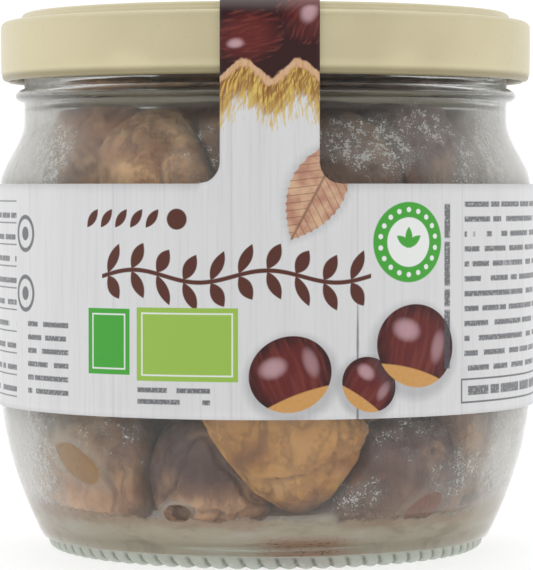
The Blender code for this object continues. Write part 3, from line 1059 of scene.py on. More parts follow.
@dataclass(frozen=True)
class GoldLacquer:
    """Satin gold lacquer on steel, with fine scuffs and painted shade that darkens its foot."""

    colour: Colour = linear(219, 208, 170)
    worn: Colour = linear(196, 184, 146)
    # painted shade for the lid's curled foot
    foot: Colour = linear(136, 124, 88)

    def material(self) -> Material:
        """The lacquer.

        Returns:
            The material.
        """
        paint = Paint("lid_lacquer")
        place = paint.place()
        clouds = paint.noise(place, 45.0, 3.0, 0.5)
        scuffs = paint.noise(paint.stretched(place, (1.0, 1.0, 5.0)), 600.0, 2.0, 0.5)
        fine = paint.noise(place, 2600.0, 1.0, 0.5)
        worn = (clouds.ramp(0.35, 0.75) * 0.35 + scuffs.ramp(0.62, 0.75) * 0.25).smaller(1.0)
        colour = paint.mix(worn, self.colour, self.worn)
        # painted shade: the lacquer darkens towards the curl at the lid's foot
        foot = (paint.split(place)[2] * 1000.0).ramp(92.6, 91.4)
        colour = paint.mix(foot * 0.8, colour, self.foot)
        rough = 0.33 + clouds * 0.08 + scuffs.ramp(0.5, 0.8) * 0.08
        normal = paint.bump(fine * 0.5 + clouds, 0.00004, 0.5)
        shader = paint.shader({
            "Base Color": colour,
            "Metallic": 0.2,
            "Roughness": rough,
            "Normal": normal,
            "Coat Weight": 0.1,
            "Coat Roughness": 0.2,
        })
        return paint.finish(shader.outputs[0])


@dataclass
class TwistOffLid:
    """The lid: a raised panel with a button, a channel, a round shoulder, a skirt and a curled foot."""

    top: float = 104.0 * MM
    radius: float = 51.6 * MM
    sheet: float = 0.4 * MM
    foot: float = 90.7 * MM
    skirt_foot: float = 92.4 * MM
    shoulder_ease: float = 1.3 * MM
    channel_top: float = 102.3 * MM
    channel_inner: float = 48.3 * MM
    panel_radius: float = 46.5 * MM
    button_radius: float = 14.0 * MM
    button_drop: float = 0.5 * MM
    button_dish: float = 0.2 * MM
    bead_width: float = 3.0 * MM
    curl: float = 0.95 * MM
    lugs: int = 6
    lug_press: float = 0.9 * MM
    lug_half_angle: float = 7.5
    steps: int = 288
    finish: GoldLacquer = field(default_factory=GoldLacquer)

    def outline(self) -> tuple[np.ndarray, np.ndarray]:
        """The lid's outline over the top, down, round the curl and back inside, and where a lug presses.

        Returns:
            Rows of radius and height, and the share of a lug's press at each.
        """
        centre_drop = self.button_drop + self.button_dish
        dish = np.linspace(0.1, 1.0, 6) * (self.button_radius - 2.0 * MM)
        button = run(dish, self.top - centre_drop + self.button_dish * (dish / self.button_radius) ** 2)
        step_share = np.linspace(0.0, 1.0, 6)[1:]
        step_radii = self.button_radius - 2.0 * MM + 2.5 * MM * step_share
        step_rise = (self.button_drop - 0.1 * MM) * ease(step_share)
        step = run(step_radii, self.top - self.button_drop - 0.05 * MM + step_rise)
        ring_share = np.linspace(0.0, 1.0, 5)[1:]
        bead_start = self.panel_radius - self.bead_width
        panel_radii = step_radii[-1] + (bead_start - step_radii[-1]) * ring_share
        panel = run(panel_radii, self.top - 0.15 * MM + 0.02 * MM * ring_share)
        bead_share = np.linspace(0.0, 1.0, 7)[1:]
        bead = run(
            bead_start + self.bead_width * bead_share,
            self.top - 0.13 * MM + 0.13 * MM * np.sin(0.5 * np.pi * bead_share),
        )
        edge_size = (1.1 * MM, 1.0 * MM)
        edge = arc((self.panel_radius, self.top - edge_size[1]), edge_size, 90.0, 10.0, 6)[1:]
        foot_share = np.linspace(0.0, 1.0, 5)[1:]
        edge_foot = run(
            edge[-1, 0] + (self.channel_inner - edge[-1, 0]) * foot_share,
            edge[-1, 1] + (self.channel_top - edge[-1, 1]) * ease(foot_share),
        )
        shoulder_centre = (self.radius - self.shoulder_ease, self.channel_top - self.shoulder_ease)
        shoulder = arc(shoulder_centre, (self.shoulder_ease, self.shoulder_ease), 90.0, 0.0, 9)
        skirt_heights = np.linspace(shoulder[-1, 1], self.skirt_foot, 7)[1:]
        skirt = run(self.radius, skirt_heights)
        curl_centre = (self.radius - self.curl - 0.2 * MM, self.foot + self.curl)
        curl = arc(curl_centre, (self.curl, self.curl), 5.0, -215.0, 16)
        over = np.concatenate([button, step, panel, bead, edge, edge_foot, shoulder, skirt, curl])
        pressed = np.clip((94.5 * MM - over[:, 1]) / (3.0 * MM), 0.0, 1.0)
        inner_wall = self.radius - self.sheet
        wall_heights = np.linspace(self.skirt_foot + 1.3 * MM, self.channel_top - self.shoulder_ease, 4)
        inner_top = self.channel_top - self.sheet
        under = np.concatenate([
            run(inner_wall, wall_heights),
            np.array([
                [shoulder_centre[0] + 0.4 * MM, inner_top - 0.35 * MM],
                [shoulder_centre[0], inner_top],
                [self.channel_inner - self.sheet, inner_top],
                [self.panel_radius, self.top - self.sheet],
                [self.button_radius, self.top - 2.0 * self.sheet],
                [1.0 * MM, self.top - centre_drop - self.sheet],
            ]),
        ])
        return np.concatenate([over, under]), np.concatenate([pressed, np.zeros(len(under))])

    def build(self) -> Piece:
        """Makes the lid.

        The outline is carried round the axis; at each lug the foot is pressed in by lug_press * the eased
        nearness to the lug's middle.

        Returns:
            The lid.
        """
        outline, pressed = self.outline()
        angle = 2.0 * np.pi * np.arange(self.steps) / self.steps
        pitch = 360.0 / self.lugs
        from_lug = np.abs((np.degrees(angle) + 90.0) % pitch - 0.5 * pitch)
        lug = 1.0 - ease(from_lug / self.lug_half_angle)
        radius = outline[:, 0, None] - self.lug_press * pressed[:, None] * lug[None, :]
        height = np.broadcast_to(outline[:, 1, None], radius.shape)
        rows = np.stack([radius * np.cos(angle), radius * np.sin(angle), height], axis=-1)
        skin = Skin()
        centre_drop = self.button_drop + self.button_dish
        top_pole = np.array([0.0, 0.0, self.top - centre_drop])
        under_pole = np.array([0.0, 0.0, self.top - centre_drop - self.sheet])
        skin.add_tube(rows, top_pole, under_pole)
        lid = skin.build("lid_steel")
        lid.data.materials.append(self.finish.material())
        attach(lid, "root")
        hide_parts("lid")
        return lid


class Print(Enum):
    """The label's inks, and its paper."""

    PAPER = linear(229, 229, 230)
    PLANK_SHADE = linear(211, 211, 213)
    JOINT = linear(118, 118, 122)
    BROWN = linear(92, 48, 38)
    BURGUNDY = linear(102, 34, 32)
    BURGUNDY_DARK = linear(52, 18, 20)
    BURGUNDY_LIGHT = linear(140, 66, 56)
    SHEEN = linear(224, 186, 194)
    TAN = linear(214, 160, 98)
    PALE_TAN = linear(222, 184, 150)
    PINK_TAN = linear(190, 138, 116)
    OCHRE = linear(206, 152, 62)
    RUST = linear(122, 64, 34)
    STRAW = linear(224, 196, 112)
    GREEN = linear(72, 172, 58)
    LIME = linear(160, 198, 84)
    WHITE = linear(244, 246, 244)
    INK_GREY = linear(78, 80, 86)


@dataclass
class Page:
    """A flat printed sheet in the making: the place on it, in mm across and up, and its colour so far."""

    paint: Paint
    u: Value
    v: Value
    colour: Socket | Colour
    soft: float = 0.12

    def lay(self, share: Value, ink: Print | Socket) -> None:
        """Lays an ink, or a worked-out colour, over what is there."""
        self.colour = self.shade(share, self.colour, ink)

    def shade(self, share: Value, under: object, over: object) -> Socket:
        """A colour of one ink over another."""
        under, over = (ink.value if isinstance(ink, Print) else ink for ink in (under, over))
        return self.paint.mix(share, under, over)

    def noise(self, across: Value, up: Value, seed: float, detail: float = 3.0, rough: float = 0.5) -> Value:
        """Cloudy noise on two numbers; seed picks which."""
        return self.paint.noise(self.paint.join(across, up, seed), 1.0, detail, rough)

    def turned(self, middle: Pair, degrees: float = 0.0) -> tuple[Value, Value]:
        """The place seen from a middle, in axes turned anticlockwise.

        Args:
            middle: the middle.
            degrees: how far they are turned.

        Returns:
            The place along and across.
        """
        cosine, sine = math.cos(math.radians(degrees)), math.sin(math.radians(degrees))
        across, up = self.u - middle[0], self.v - middle[1]
        return across * cosine + up * sine, up * cosine - across * sine

    def oval(self, along: Value, across: Value, length: float, width: float) -> Value:
        """The share of the way from an oval's middle to its edge, squared."""
        scaled_along, scaled_across = along / length, across / width
        return scaled_along * scaled_along + scaled_across * scaled_across

    def disc(self, middle: Pair, radius: float) -> Value:
        """1 inside a circle."""
        away = self.oval(*self.turned(middle), 1.0, 1.0) ** 0.5
        return away.ramp(radius + self.soft, radius - self.soft)

    def leaf(self, along: Value, across: Value, length: float, width: float) -> Value:
        """1 inside a pointed leaf whose half-width is width * (1 - (along / length)^2)."""
        scaled = along / length
        return ((1.0 - scaled * scaled) * width - abs(across)).ramp(-self.soft, self.soft)

    def box(self, low: Pair, high: Pair) -> Value:
        """1 inside an upright rectangle.

        Args:
            low: its lower left corner.
            high: its upper right corner.

        Returns:
            The share inside.
        """
        half = (0.5 * (high[0] - low[0]), 0.5 * (high[1] - low[1]))
        across = abs(self.u - (low[0] + half[0])) - half[0]
        up = abs(self.v - (low[1] + half[1])) - half[1]
        return across.larger(up).ramp(0.5 * self.soft, -0.5 * self.soft)

    def frame(self, low: Pair, high: Pair, line: float) -> Value:
        """1 on a line just inside a rectangle's edge."""
        inner_low, inner_high = (low[0] + line, low[1] + line), (high[0] - line, high[1] - line)
        return self.box(low, high) - self.box(inner_low, inner_high)

    def bars(self, low: Pair, high: Pair, pitch: float, tall: float) -> Value:
        """Rows of plain bars of uneven lengths within a rectangle.

        Args:
            low: the rectangle's lower left corner.
            high: its upper right corner.
            pitch: from one row to the next.
            tall: how tall a bar is.

        Returns:
            1 on the bars.
        """
        row = ((high[1] - self.v) / pitch).floor()
        inside_row = (high[1] - self.v).wrap(pitch)
        stroke = (abs(inside_row - 0.5 * pitch) - 0.5 * tall).ramp(self.soft, -self.soft)
        gaps = self.noise(self.u * 0.32, row * 7.3, 0.0, 0.0).ramp(0.36, 0.40)
        worn = self.noise(self.u * 2.2, self.v * 1.6, 0.0, 1.0).ramp(0.25, 0.5, 0.45, 1.0)
        return stroke * gaps * worn * self.box(low, high)


@dataclass(frozen=True)
class LabelPrint:
    """The label's print: pale planks, fields of colour and simple shapes, and rows of plain bars.

    Places are in millimetres on the flat label: across from the front's middle, and up from the floor.
    """

    joint: float = 16.9
    plank: float = 23.0

    def ground(self, page: Page) -> None:
        """Lays pale painted planks with a fine upright grain and dark joints.

        Args:
            page: the sheet in the making.
        """
        u, v = page.u, page.v
        grain = page.noise(u * 1.6, v * 0.045, 0.0, 4.0, 0.6)
        broad = page.noise(u * 0.22, v * 0.02, 3.0, 2.0)
        page.lay(grain.ramp(0.45, 0.72) * 0.4 + broad.ramp(0.4, 0.8) * 0.3, Print.PLANK_SHADE)
        half = 0.5 * self.plank
        from_joint = abs((u - self.joint + half + 10.0 * self.plank).wrap(self.plank) - half)
        wobble = (page.noise(v * 0.0, v * 0.2, 0.0, 2.0) - 0.5) * 0.3
        dark_one = abs(u - self.joint).ramp(4.0, 1.0) * v.ramp(52.0, 46.0)
        page.lay((from_joint + wobble).ramp(0.32, 0.05) * (dark_one * 0.7 + 0.12), Print.JOINT)

    def garland(self, page: Page) -> None:
        """Lays a wavy brown stem with paired leaves, and a short row of buds over it.

        Args:
            page: the sheet in the making.
        """
        u, v = page.u, page.v
        off = v - ((u + 31.0) * 0.25).sine() * 1.1 - 54.2
        stem = (abs(off) - 0.4).ramp(page.soft, -page.soft)
        pitch = 5.1
        place = (u + 31.6).wrap(pitch) - 0.5 * pitch
        slant_along = place * 0.45 + (abs(off) - 2.6) * 0.89
        slant_across = place * 0.89 - (abs(off) - 2.6) * 0.45
        leaves = page.leaf(slant_along, slant_across, 2.7, 1.15)
        page.lay(stem.larger(leaves) * page.box((-31.6, 47.0), (19.5, 61.0)), Print.BROWN)
        place = (u + 35.4).wrap(3.2) - 1.6
        bud_along = place * 0.6 + (v - 64.6) * 0.8
        bud_across = place * 0.8 - (v - 64.6) * 0.6
        buds = page.leaf(bud_along, bud_across, 2.1, 0.85) * page.box((-35.4, 61.0), (-19.4, 68.0))
        page.lay(buds.larger(page.disc((-16.2, 64.5), 1.9)), Print.BROWN)

    def badge(self, page: Page) -> None:
        """Lays a green roundel with a ring of dots and a sprig.

        Args:
            page: the sheet in the making.
        """
        middle = (27.2, 60.3)
        page.lay(page.disc(middle, 7.3), Print.GREEN)
        page.lay(page.disc(middle, 4.5), Print.WHITE)
        along, across = page.turned(middle)
        angle = across.maths("ARCTAN2", along)
        from_ring = page.oval(along, across, 1.0, 1.0) ** 0.5 - 5.9
        side = ((angle * (18.0 / (2.0 * math.pi)) + 18.0).wrap(1.0) - 0.5) * (2.0 * math.pi * 5.9 / 18.0)
        page.lay((page.oval(side, from_ring, 1.0, 1.0) ** 0.5).ramp(0.55, 0.4), Print.WHITE)
        for lean, reach in ((90.0, 1.5), (145.0, 1.2), (35.0, 1.2)):
            way = math.radians(lean)
            root = (middle[0] + reach * math.cos(way), middle[1] - 0.6 + reach * math.sin(way))
            page.lay(page.leaf(*page.turned(root, lean), 1.9, 0.75), Print.GREEN)

    def plates(self, page: Page) -> None:
        """Lays two plain green plates, each with a white hairline inside its edge.

        Args:
            page: the sheet in the making.
        """
        plates = (((-34.8, 36.2), (-25.6, 48.2), Print.GREEN), ((-24.1, 35.2), (-4.9, 48.5), Print.LIME))
        for low, high, ink in plates:
            page.lay(page.box(low, high), ink)
            hairline = page.frame((low[0] + 0.9, low[1] + 0.9), (high[0] - 0.9, high[1] - 0.9), 0.3)
            page.lay(hairline * 0.9, Print.WHITE)

    def nut(self, page: Page, middle: Pair, size: float, degrees: float) -> None:
        """Lays a glossy round nut with a tan foot and a soft shadow, all plain ovals.

        Args:
            page: the sheet in the making.
            middle: the nut's middle.
            size: its half-length.
            degrees: how far it is turned anticlockwise.
        """
        along, across = page.turned(middle, degrees)
        shadow = page.oval(along, across + 0.12 * size, 1.15 * size, 1.06 * size).ramp(1.25, 0.7)
        page.lay(shadow * 0.32, Print.INK_GREY)
        rim = page.oval(along, across, size, 0.9 * size)
        shell = page.shade(rim.ramp(0.25, 1.0), Print.BURGUNDY, Print.BURGUNDY_DARK)
        streaks = page.noise(along * 0.9, across * 0.14, 0.0)
        shell = page.shade(streaks.ramp(0.42, 0.7) * 0.45, shell, Print.BURGUNDY_LIGHT)
        foot = (across + 0.5 * size + along * along * 0.014).ramp(0.15, -0.15)
        grit = page.noise(page.u * 1.4, page.v * 1.4, 0.0)
        shell = page.shade(foot, shell, page.shade(grit.ramp(0.4, 0.7) * 0.5, Print.TAN, Print.OCHRE))
        sheen = page.oval(along + 0.34 * size, across - 0.28 * size, 0.42 * size, 0.3 * size).ramp(1.0, 0.0)
        edge = page.oval(along - 0.55 * size, across - 0.1 * size, 0.22 * size, 0.45 * size).ramp(1.0, 0.0)
        shell = page.shade((sheen * 0.6).larger(edge * 0.4) * (1.0 - foot), shell, Print.SHEEN)
        page.lay(rim.ramp(1.02, 0.97), shell)

    def big_leaf(self, page: Page) -> None:
        """Lays a pinkish tan leaf with ribs and a toothed edge.

        Args:
            page: the sheet in the making.
        """
        along, across = page.turned((9.5, 70.0), 62.0)
        rib = abs((along + abs(across) * 0.7).wrap(1.6) - 0.8)
        scaled = along / 10.5
        room = (1.0 - scaled * scaled) * 5.2 - abs(across) - rib * 0.35
        page.lay(room.ramp(-2.0, 0.6) * 0.25, Print.INK_GREY)
        tone = page.noise(page.u * 0.35, page.v * 0.35, 1.0)
        leaf = page.shade(tone.ramp(0.3, 0.7), Print.PINK_TAN, Print.PALE_TAN)
        veins = rib.ramp(0.16, 0.02).larger(abs(across).ramp(0.35, 0.1))
        leaf = page.shade(veins * 0.55, leaf, Print.BROWN)
        page.lay(room.ramp(-page.soft, page.soft), leaf)

    def crown(self, page: Page) -> None:
        """Lays the tab's upper field: dark round petals, a pale edge, then an ochre fringe that frays out.

        Args:
            page: the sheet in the making.
        """
        u, v = page.u, page.v
        level = v + (u * 0.62 + 0.9).sine() * 1.6 + (page.noise(u * 0.5, v * 0.5, 5.0, 2.0) - 0.5) * 2.0
        bristle = page.noise(u * 2.2 + (v - 84.0) * (u * 0.05), v * 0.2, 0.0, 3.0, 0.65)
        crossing = page.noise(u * 1.5 - v * 0.7, v * 0.3, 4.0, 2.0, 0.6)
        frayed = level + (bristle - 0.5) * 15.0 + (crossing - 0.5) * 6.0
        gold = page.shade(bristle.ramp(0.35, 0.62), Print.OCHRE, Print.STRAW)
        roots = level.ramp(83.0, 90.0) * crossing.ramp(0.42, 0.58)
        gold = page.shade((bristle.ramp(0.52, 0.36) * 0.8).larger(roots * 0.8), gold, Print.RUST)
        page.lay(frayed.ramp(82.4, 83.8) * (0.35 + frayed.ramp(82.0, 86.0) * 0.65), gold)
        page.lay(level.ramp(89.8, 90.6), page.shade(bristle.ramp(0.4, 0.7), Print.PALE_TAN, Print.TAN))
        field_colour = Print.BURGUNDY_DARK.value
        petals = (((9.0, 104.5), 8.5, 60.0), ((-7.0, 116.0), 11.0, -20.0), ((-3.2, 97.4), 6.6, 12.0))
        for middle, size, degrees in petals:
            along, across = page.turned(middle, degrees)
            rim = page.oval(along, across, size, 0.8 * size)
            petal = page.shade(rim.ramp(0.0, 1.0), Print.BURGUNDY, Print.BURGUNDY_DARK)
            grain = page.noise(along * 0.3, across * 1.6, 2.0)
            petal = page.shade(grain.ramp(0.45, 0.7) * 0.5, petal, Print.BURGUNDY_LIGHT)
            gleam = page.oval(along + 0.35 * size, across + 0.05 * size, 0.34 * size, 0.26 * size)
            gleam = gleam.ramp(1.0, 0.0)
            petal = page.shade(gleam * gleam * 0.7, petal, Print.SHEEN)
            field_colour = page.shade(rim.ramp(1.02, 0.97), field_colour, petal)
        page.lay(level.ramp(91.4, 92.0), field_colour)

    def bar_rows(self, page: Page) -> None:
        """Lays rows of plain bars, rules, a frame and two rings.

        Args:
            page: the sheet in the making.
        """
        marks = page.frame((39.6, 30.4), (80.5, 35.0), 0.35)
        for low, high, pitch, tall in (
            ((40.5, 36.0), (79.0, 68.5), 2.75, 1.0),
            ((-53.0, 31.5), (-40.0, 46.0), 2.5, 0.95),
            ((-79.0, 30.0), (-58.0, 67.0), 4.1, 1.0),
            ((-24.0, 30.4), (-10.0, 34.6), 2.1, 0.9),
            ((41.5, 31.2), (79.0, 34.2), 3.0, 1.7),
        ):
            marks = marks.larger(page.bars(low, high, pitch, tall))
        upright = Page(page.paint, page.v, page.u * -1.0, page.colour)
        marks = marks.larger(upright.bars((37.0, -37.4), (67.5, -34.6), 2.8, 1.4))
        rules = (abs(page.v.wrap(4.1) - 2.05) - 0.12).ramp(page.soft, -page.soft)
        marks = marks.larger(rules * page.box((-80.0, 30.0), (-58.0, 68.0)))
        for height in (50.4, 61.6):
            middle = (-54.0, height)
            ring = page.disc(middle, 3.5) - page.disc(middle, 2.7)
            marks = marks.larger(ring).larger(page.disc(middle, 1.3))
        page.lay(marks * 0.85, Print.INK_GREY)

    def material(self) -> Material:
        """The printed paper.

        Returns:
            The material.
        """
        paint = Paint("label_print")
        u, v, _ = paint.split(paint.stretched(paint.flat(), (100.0, 100.0, 100.0)))
        page = Page(paint, u, v, Print.PAPER.value)
        self.ground(page)
        self.crown(page)
        self.big_leaf(page)
        self.garland(page)
        self.badge(page)
        self.plates(page)
        self.nut(page, (4.5, 36.6), 7.6, 20.0)
        self.nut(page, (19.2, 34.6), 5.4, -34.0)
        self.nut(page, (29.0, 41.4), 8.4, -14.0)
        self.bar_rows(page)
        fibres = paint.noise(paint.place(), 2400.0, 2.0)
        shader = paint.shader({
            "Base Color": page.colour,
            "Roughness": 0.42 + fibres * 0.1,
            "Normal": paint.bump(fibres, 0.00002, 0.4),
            "Specular IOR Level": 0.4,
        })
        return paint.finish(shader.outputs[0])

    def back(self) -> Material:
        """The paper's bare back and cut edges.

        Returns:
            The material.
        """
        paint = Paint("label_back")
        fibres = paint.noise(paint.place(), 1800.0, 3.0)
        colour = paint.mix(fibres, linear(226, 226, 224), linear(208, 207, 203))
        normal = paint.bump(fibres, 0.00003, 0.5)
        shader = paint.shader({"Base Color": colour, "Roughness": 0.8, "Normal": normal})
        return paint.finish(shader.outputs[0])


@dataclass
class WrapLabel:
    """The paper label: a band right round the barrel, and a tab that goes up over the lid."""

    reach: float = 52.3 * MM
    paper: float = 0.15 * MM
    foot: float = 28.4 * MM
    top: float = 70.9 * MM
    tab_half: float = 9.0 * MM
    tab_shift: float = 0.8 * MM
    fillet: float = 4.0 * MM
    tab_end: float = 17.0 * MM
    end_corner: float = 2.5 * MM
    lid_top: float = 104.0 * MM
    channel_top: float = 102.3 * MM
    panel_radius: float = 46.5 * MM
    tab_clear: float = 0.33 * MM
    tab_columns: int = 28
    uv_scale: float = 10.0
    finish: LabelPrint = field(default_factory=LabelPrint)

    def tab_path(self) -> np.ndarray:
        """The tab's way up, over the lid's edge and in along its top.

        Returns:
            Rows of distance from the axis, height, and length along the tab.
        """
        above = self.lid_top + self.tab_clear
        knots = np.array([
            [self.reach, self.top],
            [self.reach, self.top + 10.0 * MM],
            [self.reach, self.channel_top - 4.0 * MM],
            [self.reach - 0.05 * MM, self.channel_top - 1.6 * MM],
            [self.reach - 0.45 * MM, self.channel_top - 0.5 * MM],
            [self.reach - 1.3 * MM, self.channel_top + 0.3 * MM],
            [self.reach - 3.3 * MM, self.channel_top + 1.3 * MM],
            [self.panel_radius + 0.6 * MM, above - 0.08 * MM],
            [self.panel_radius - 0.8 * MM, above],
            [self.panel_radius - 6.0 * MM, above],
            [self.tab_end, above],
        ])
        length = np.concatenate([[0.0], np.cumsum(np.linalg.norm(np.diff(knots, axis=0), axis=1))])
        fine = np.unique(np.concatenate([
            np.linspace(0.0, self.fillet, 12),
            np.arange(self.fillet, length[2], 2.2 * MM),
            np.arange(length[2], length[8], 0.35 * MM),
            np.linspace(length[8], length[-1], 22),
        ]))
        smooth = np.stack([np.interp(fine, length, knots[:, axis]) for axis in (0, 1)], axis=1)
        for _ in range(6):
            inner = smooth[1:-1] * 0.5 + (smooth[:-2] + smooth[2:]) * 0.25
            held = (fine[1:-1] <= length[2] - 3.0 * MM) | (fine[1:-1] >= length[8] + 2.0 * MM)
            smooth[1:-1] = np.where(held[:, None], smooth[1:-1], inner)
        return np.concatenate([smooth, fine[:, None]], axis=1)

    def tab_half_width(self, along: np.ndarray, length: float) -> np.ndarray:
        """The tab's half-width: fillets at its foot, straight sides, and round corners at its end.

        Args:
            along: places along the tab.
            length: the tab's whole length.

        Returns:
            The half-width at each.
        """
        low = np.clip(self.fillet - along, 0.0, self.fillet)
        flare = self.fillet - np.sqrt(np.clip(self.fillet**2 - low**2, 0.0, None))
        near_end = np.clip(self.end_corner - (length - along), 0.0, self.end_corner)
        trim = self.end_corner - np.sqrt(np.clip(self.end_corner**2 - near_end**2, 0.0, None))
        return self.tab_half + flare - trim

    def wrapped(
        self, across: np.ndarray, distance: np.ndarray, height: np.ndarray, hug: np.ndarray
    ) -> np.ndarray:
        """Points of the label: round the jar where hug is 1, and straight across where it is 0.

        Args:
            across: the place along the paper, from the front's middle.
            distance: the paper's distance from the axis at its middle.
            height: the height.
            hug: how far the paper follows the round.

        Returns:
            The points.
        """
        angle = across / self.reach
        side = hug * self.reach * np.sin(angle) + (1.0 - hug) * across
        back = hug * self.reach * (1.0 - np.cos(angle))
        return np.stack([side, back - distance, height], axis=-1)

    def build(self) -> Piece:
        """Makes the label: the flat pattern is wrapped on a cylinder, and the tab then follows its path.

        Returns:
            The label, printed in front and bare behind.
        """
        path = self.tab_path()
        shares = np.linspace(-1.0, 1.0, self.tab_columns + 1)
        half = self.tab_half_width(path[:, 2], path[-1, 2])
        across = self.tab_shift + shares[None, :] * half[:, None]
        distance = np.broadcast_to(path[:, 0, None], across.shape)
        height = np.broadcast_to(path[:, 1, None], across.shape)
        hug = 1.0 - ease((path[:, 1] - 98.0 * MM) / (6.0 * MM))
        tab = self.wrapped(across, distance, height, np.broadcast_to(hug[:, None], across.shape))
        around = 2.0 * math.pi * self.reach
        foot_half = self.tab_half + self.fillet
        rest = np.linspace(self.tab_shift + foot_half, self.tab_shift + around - foot_half, 240)
        band_across = np.concatenate([across[0], rest[1:]])
        band_height = np.linspace(self.foot, self.top, 25)
        band_grid = np.broadcast_to(band_across[None, :], (len(band_height), len(band_across)))
        band_rows = np.broadcast_to(band_height[:, None], band_grid.shape)
        ones = np.ones(band_grid.shape)
        band = self.wrapped(band_grid, ones * self.reach, band_rows, ones)
        skin = Skin()
        skin.add_sheet(band)
        skin.add_sheet(tab)
        label = skin.build("label_paper")
        flat_tab = np.stack([across, np.broadcast_to(self.top + path[:, 2, None], across.shape)], axis=-1)
        flat_band = np.stack([band_grid, band_rows], axis=-1)
        centred = np.where(flat_band[..., 0] > 0.5 * around, flat_band[..., 0] - around, flat_band[..., 0])
        flat_band = np.stack([centred, flat_band[..., 1]], axis=-1)
        flat = np.concatenate([flat_band.reshape(-1, 2), flat_tab.reshape(-1, 2)]) * self.uv_scale
        layer = label.data.uv_layers.new(name="flat")
        order = np.zeros(len(label.data.loops), np.int32)
        label.data.loops.foreach_get("vertex_index", order)
        pattern = flat[order]
        corners = pattern.reshape(-1, 4, 2)
        far = corners[..., 0].max(axis=1) - corners[..., 0].min(axis=1) > 1.0
        crossing = corners[far, :, 0]
        corners[far, :, 0] = np.where(crossing < 0.0, crossing + around * self.uv_scale, crossing)
        layer.data.foreach_set("uv", corners.astype(np.float32).ravel())
        label.data.materials.append(self.finish.material())
        label.data.materials.append(self.finish.back())
        weld = label.modifiers.new("weld", "WELD")
        weld.merge_threshold = 0.00002
        sheet = label.modifiers.new("paper", "SOLIDIFY")
        sheet.thickness = self.paper
        sheet.offset = 1.0
        sheet.material_offset = 1
        sheet.material_offset_rim = 1
        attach(label, "root")
        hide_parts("label")
        return label


class NutTone(Enum):
    """The colours that peeled nuts have in the jar, and a pale flesh lit from below, used as painted light.
    """

    OCHRE = linear(214, 158, 88)
    TAN = linear(186, 144, 106)
    BROWN = linear(152, 118, 92)
    MAUVE = linear(114, 88, 80)
    PALE = linear(204, 166, 124)
    # pale flesh as if lit from below; the nuts' lower parts are painted towards it
    UNDERLIT_FLESH = linear(250, 198, 150)
    LIGHT = linear(244, 200, 150)


RING_TONES = [NutTone.OCHRE, NutTone.TAN, NutTone.BROWN, NutTone.BROWN, NutTone.MAUVE, NutTone.PALE]


@dataclass(frozen=True)
class PeeledNut:
    """One nut: its place, turn and colour, the depth of its folds, and how far it narrows to its tip.

    The azimuth is in degrees from the front towards +X, and the height and distance from the axis are in mm.
    """

    azimuth: float
    height: float
    distance: float
    size: float
    spin: float
    lean: float
    turn: float
    tone: NutTone = NutTone.BROWN
    folds: float = 1.0
    # blush: how far the nut's lower part is painted paler, partly pale flesh and partly painted light from
    # below
    blush: float = 0.5
    point: float = 0.22

    def centre(self) -> np.ndarray:
        """The nut's middle."""
        out = math.radians(self.azimuth)
        return np.array([math.sin(out) * self.distance, -math.cos(out) * self.distance, self.height]) * MM

    def axes(self) -> np.ndarray:
        """The nut's own axes: its domed face, -Y, looks out from the jar's axis before it is turned.

        Returns:
            The axes as columns.
        """

        def about(axis: int, degrees: float) -> np.ndarray:
            """A turn about one axis.

            Args:
                axis: 0, 1 or 2 for x, y or z.
                degrees: how far.

            Returns:
                The turn as a matrix.
            """
            cosine, sine = math.cos(math.radians(degrees)), math.sin(math.radians(degrees))
            turn = np.eye(3)
            first, second = (axis + 1) % 3, (axis + 2) % 3
            turn[first, first] = turn[second, second] = cosine
            turn[first, second], turn[second, first] = -sine, sine
            return turn

        pose = about(2, self.turn) @ about(0, self.lean) @ about(1, self.spin)
        return about(2, self.azimuth) @ pose


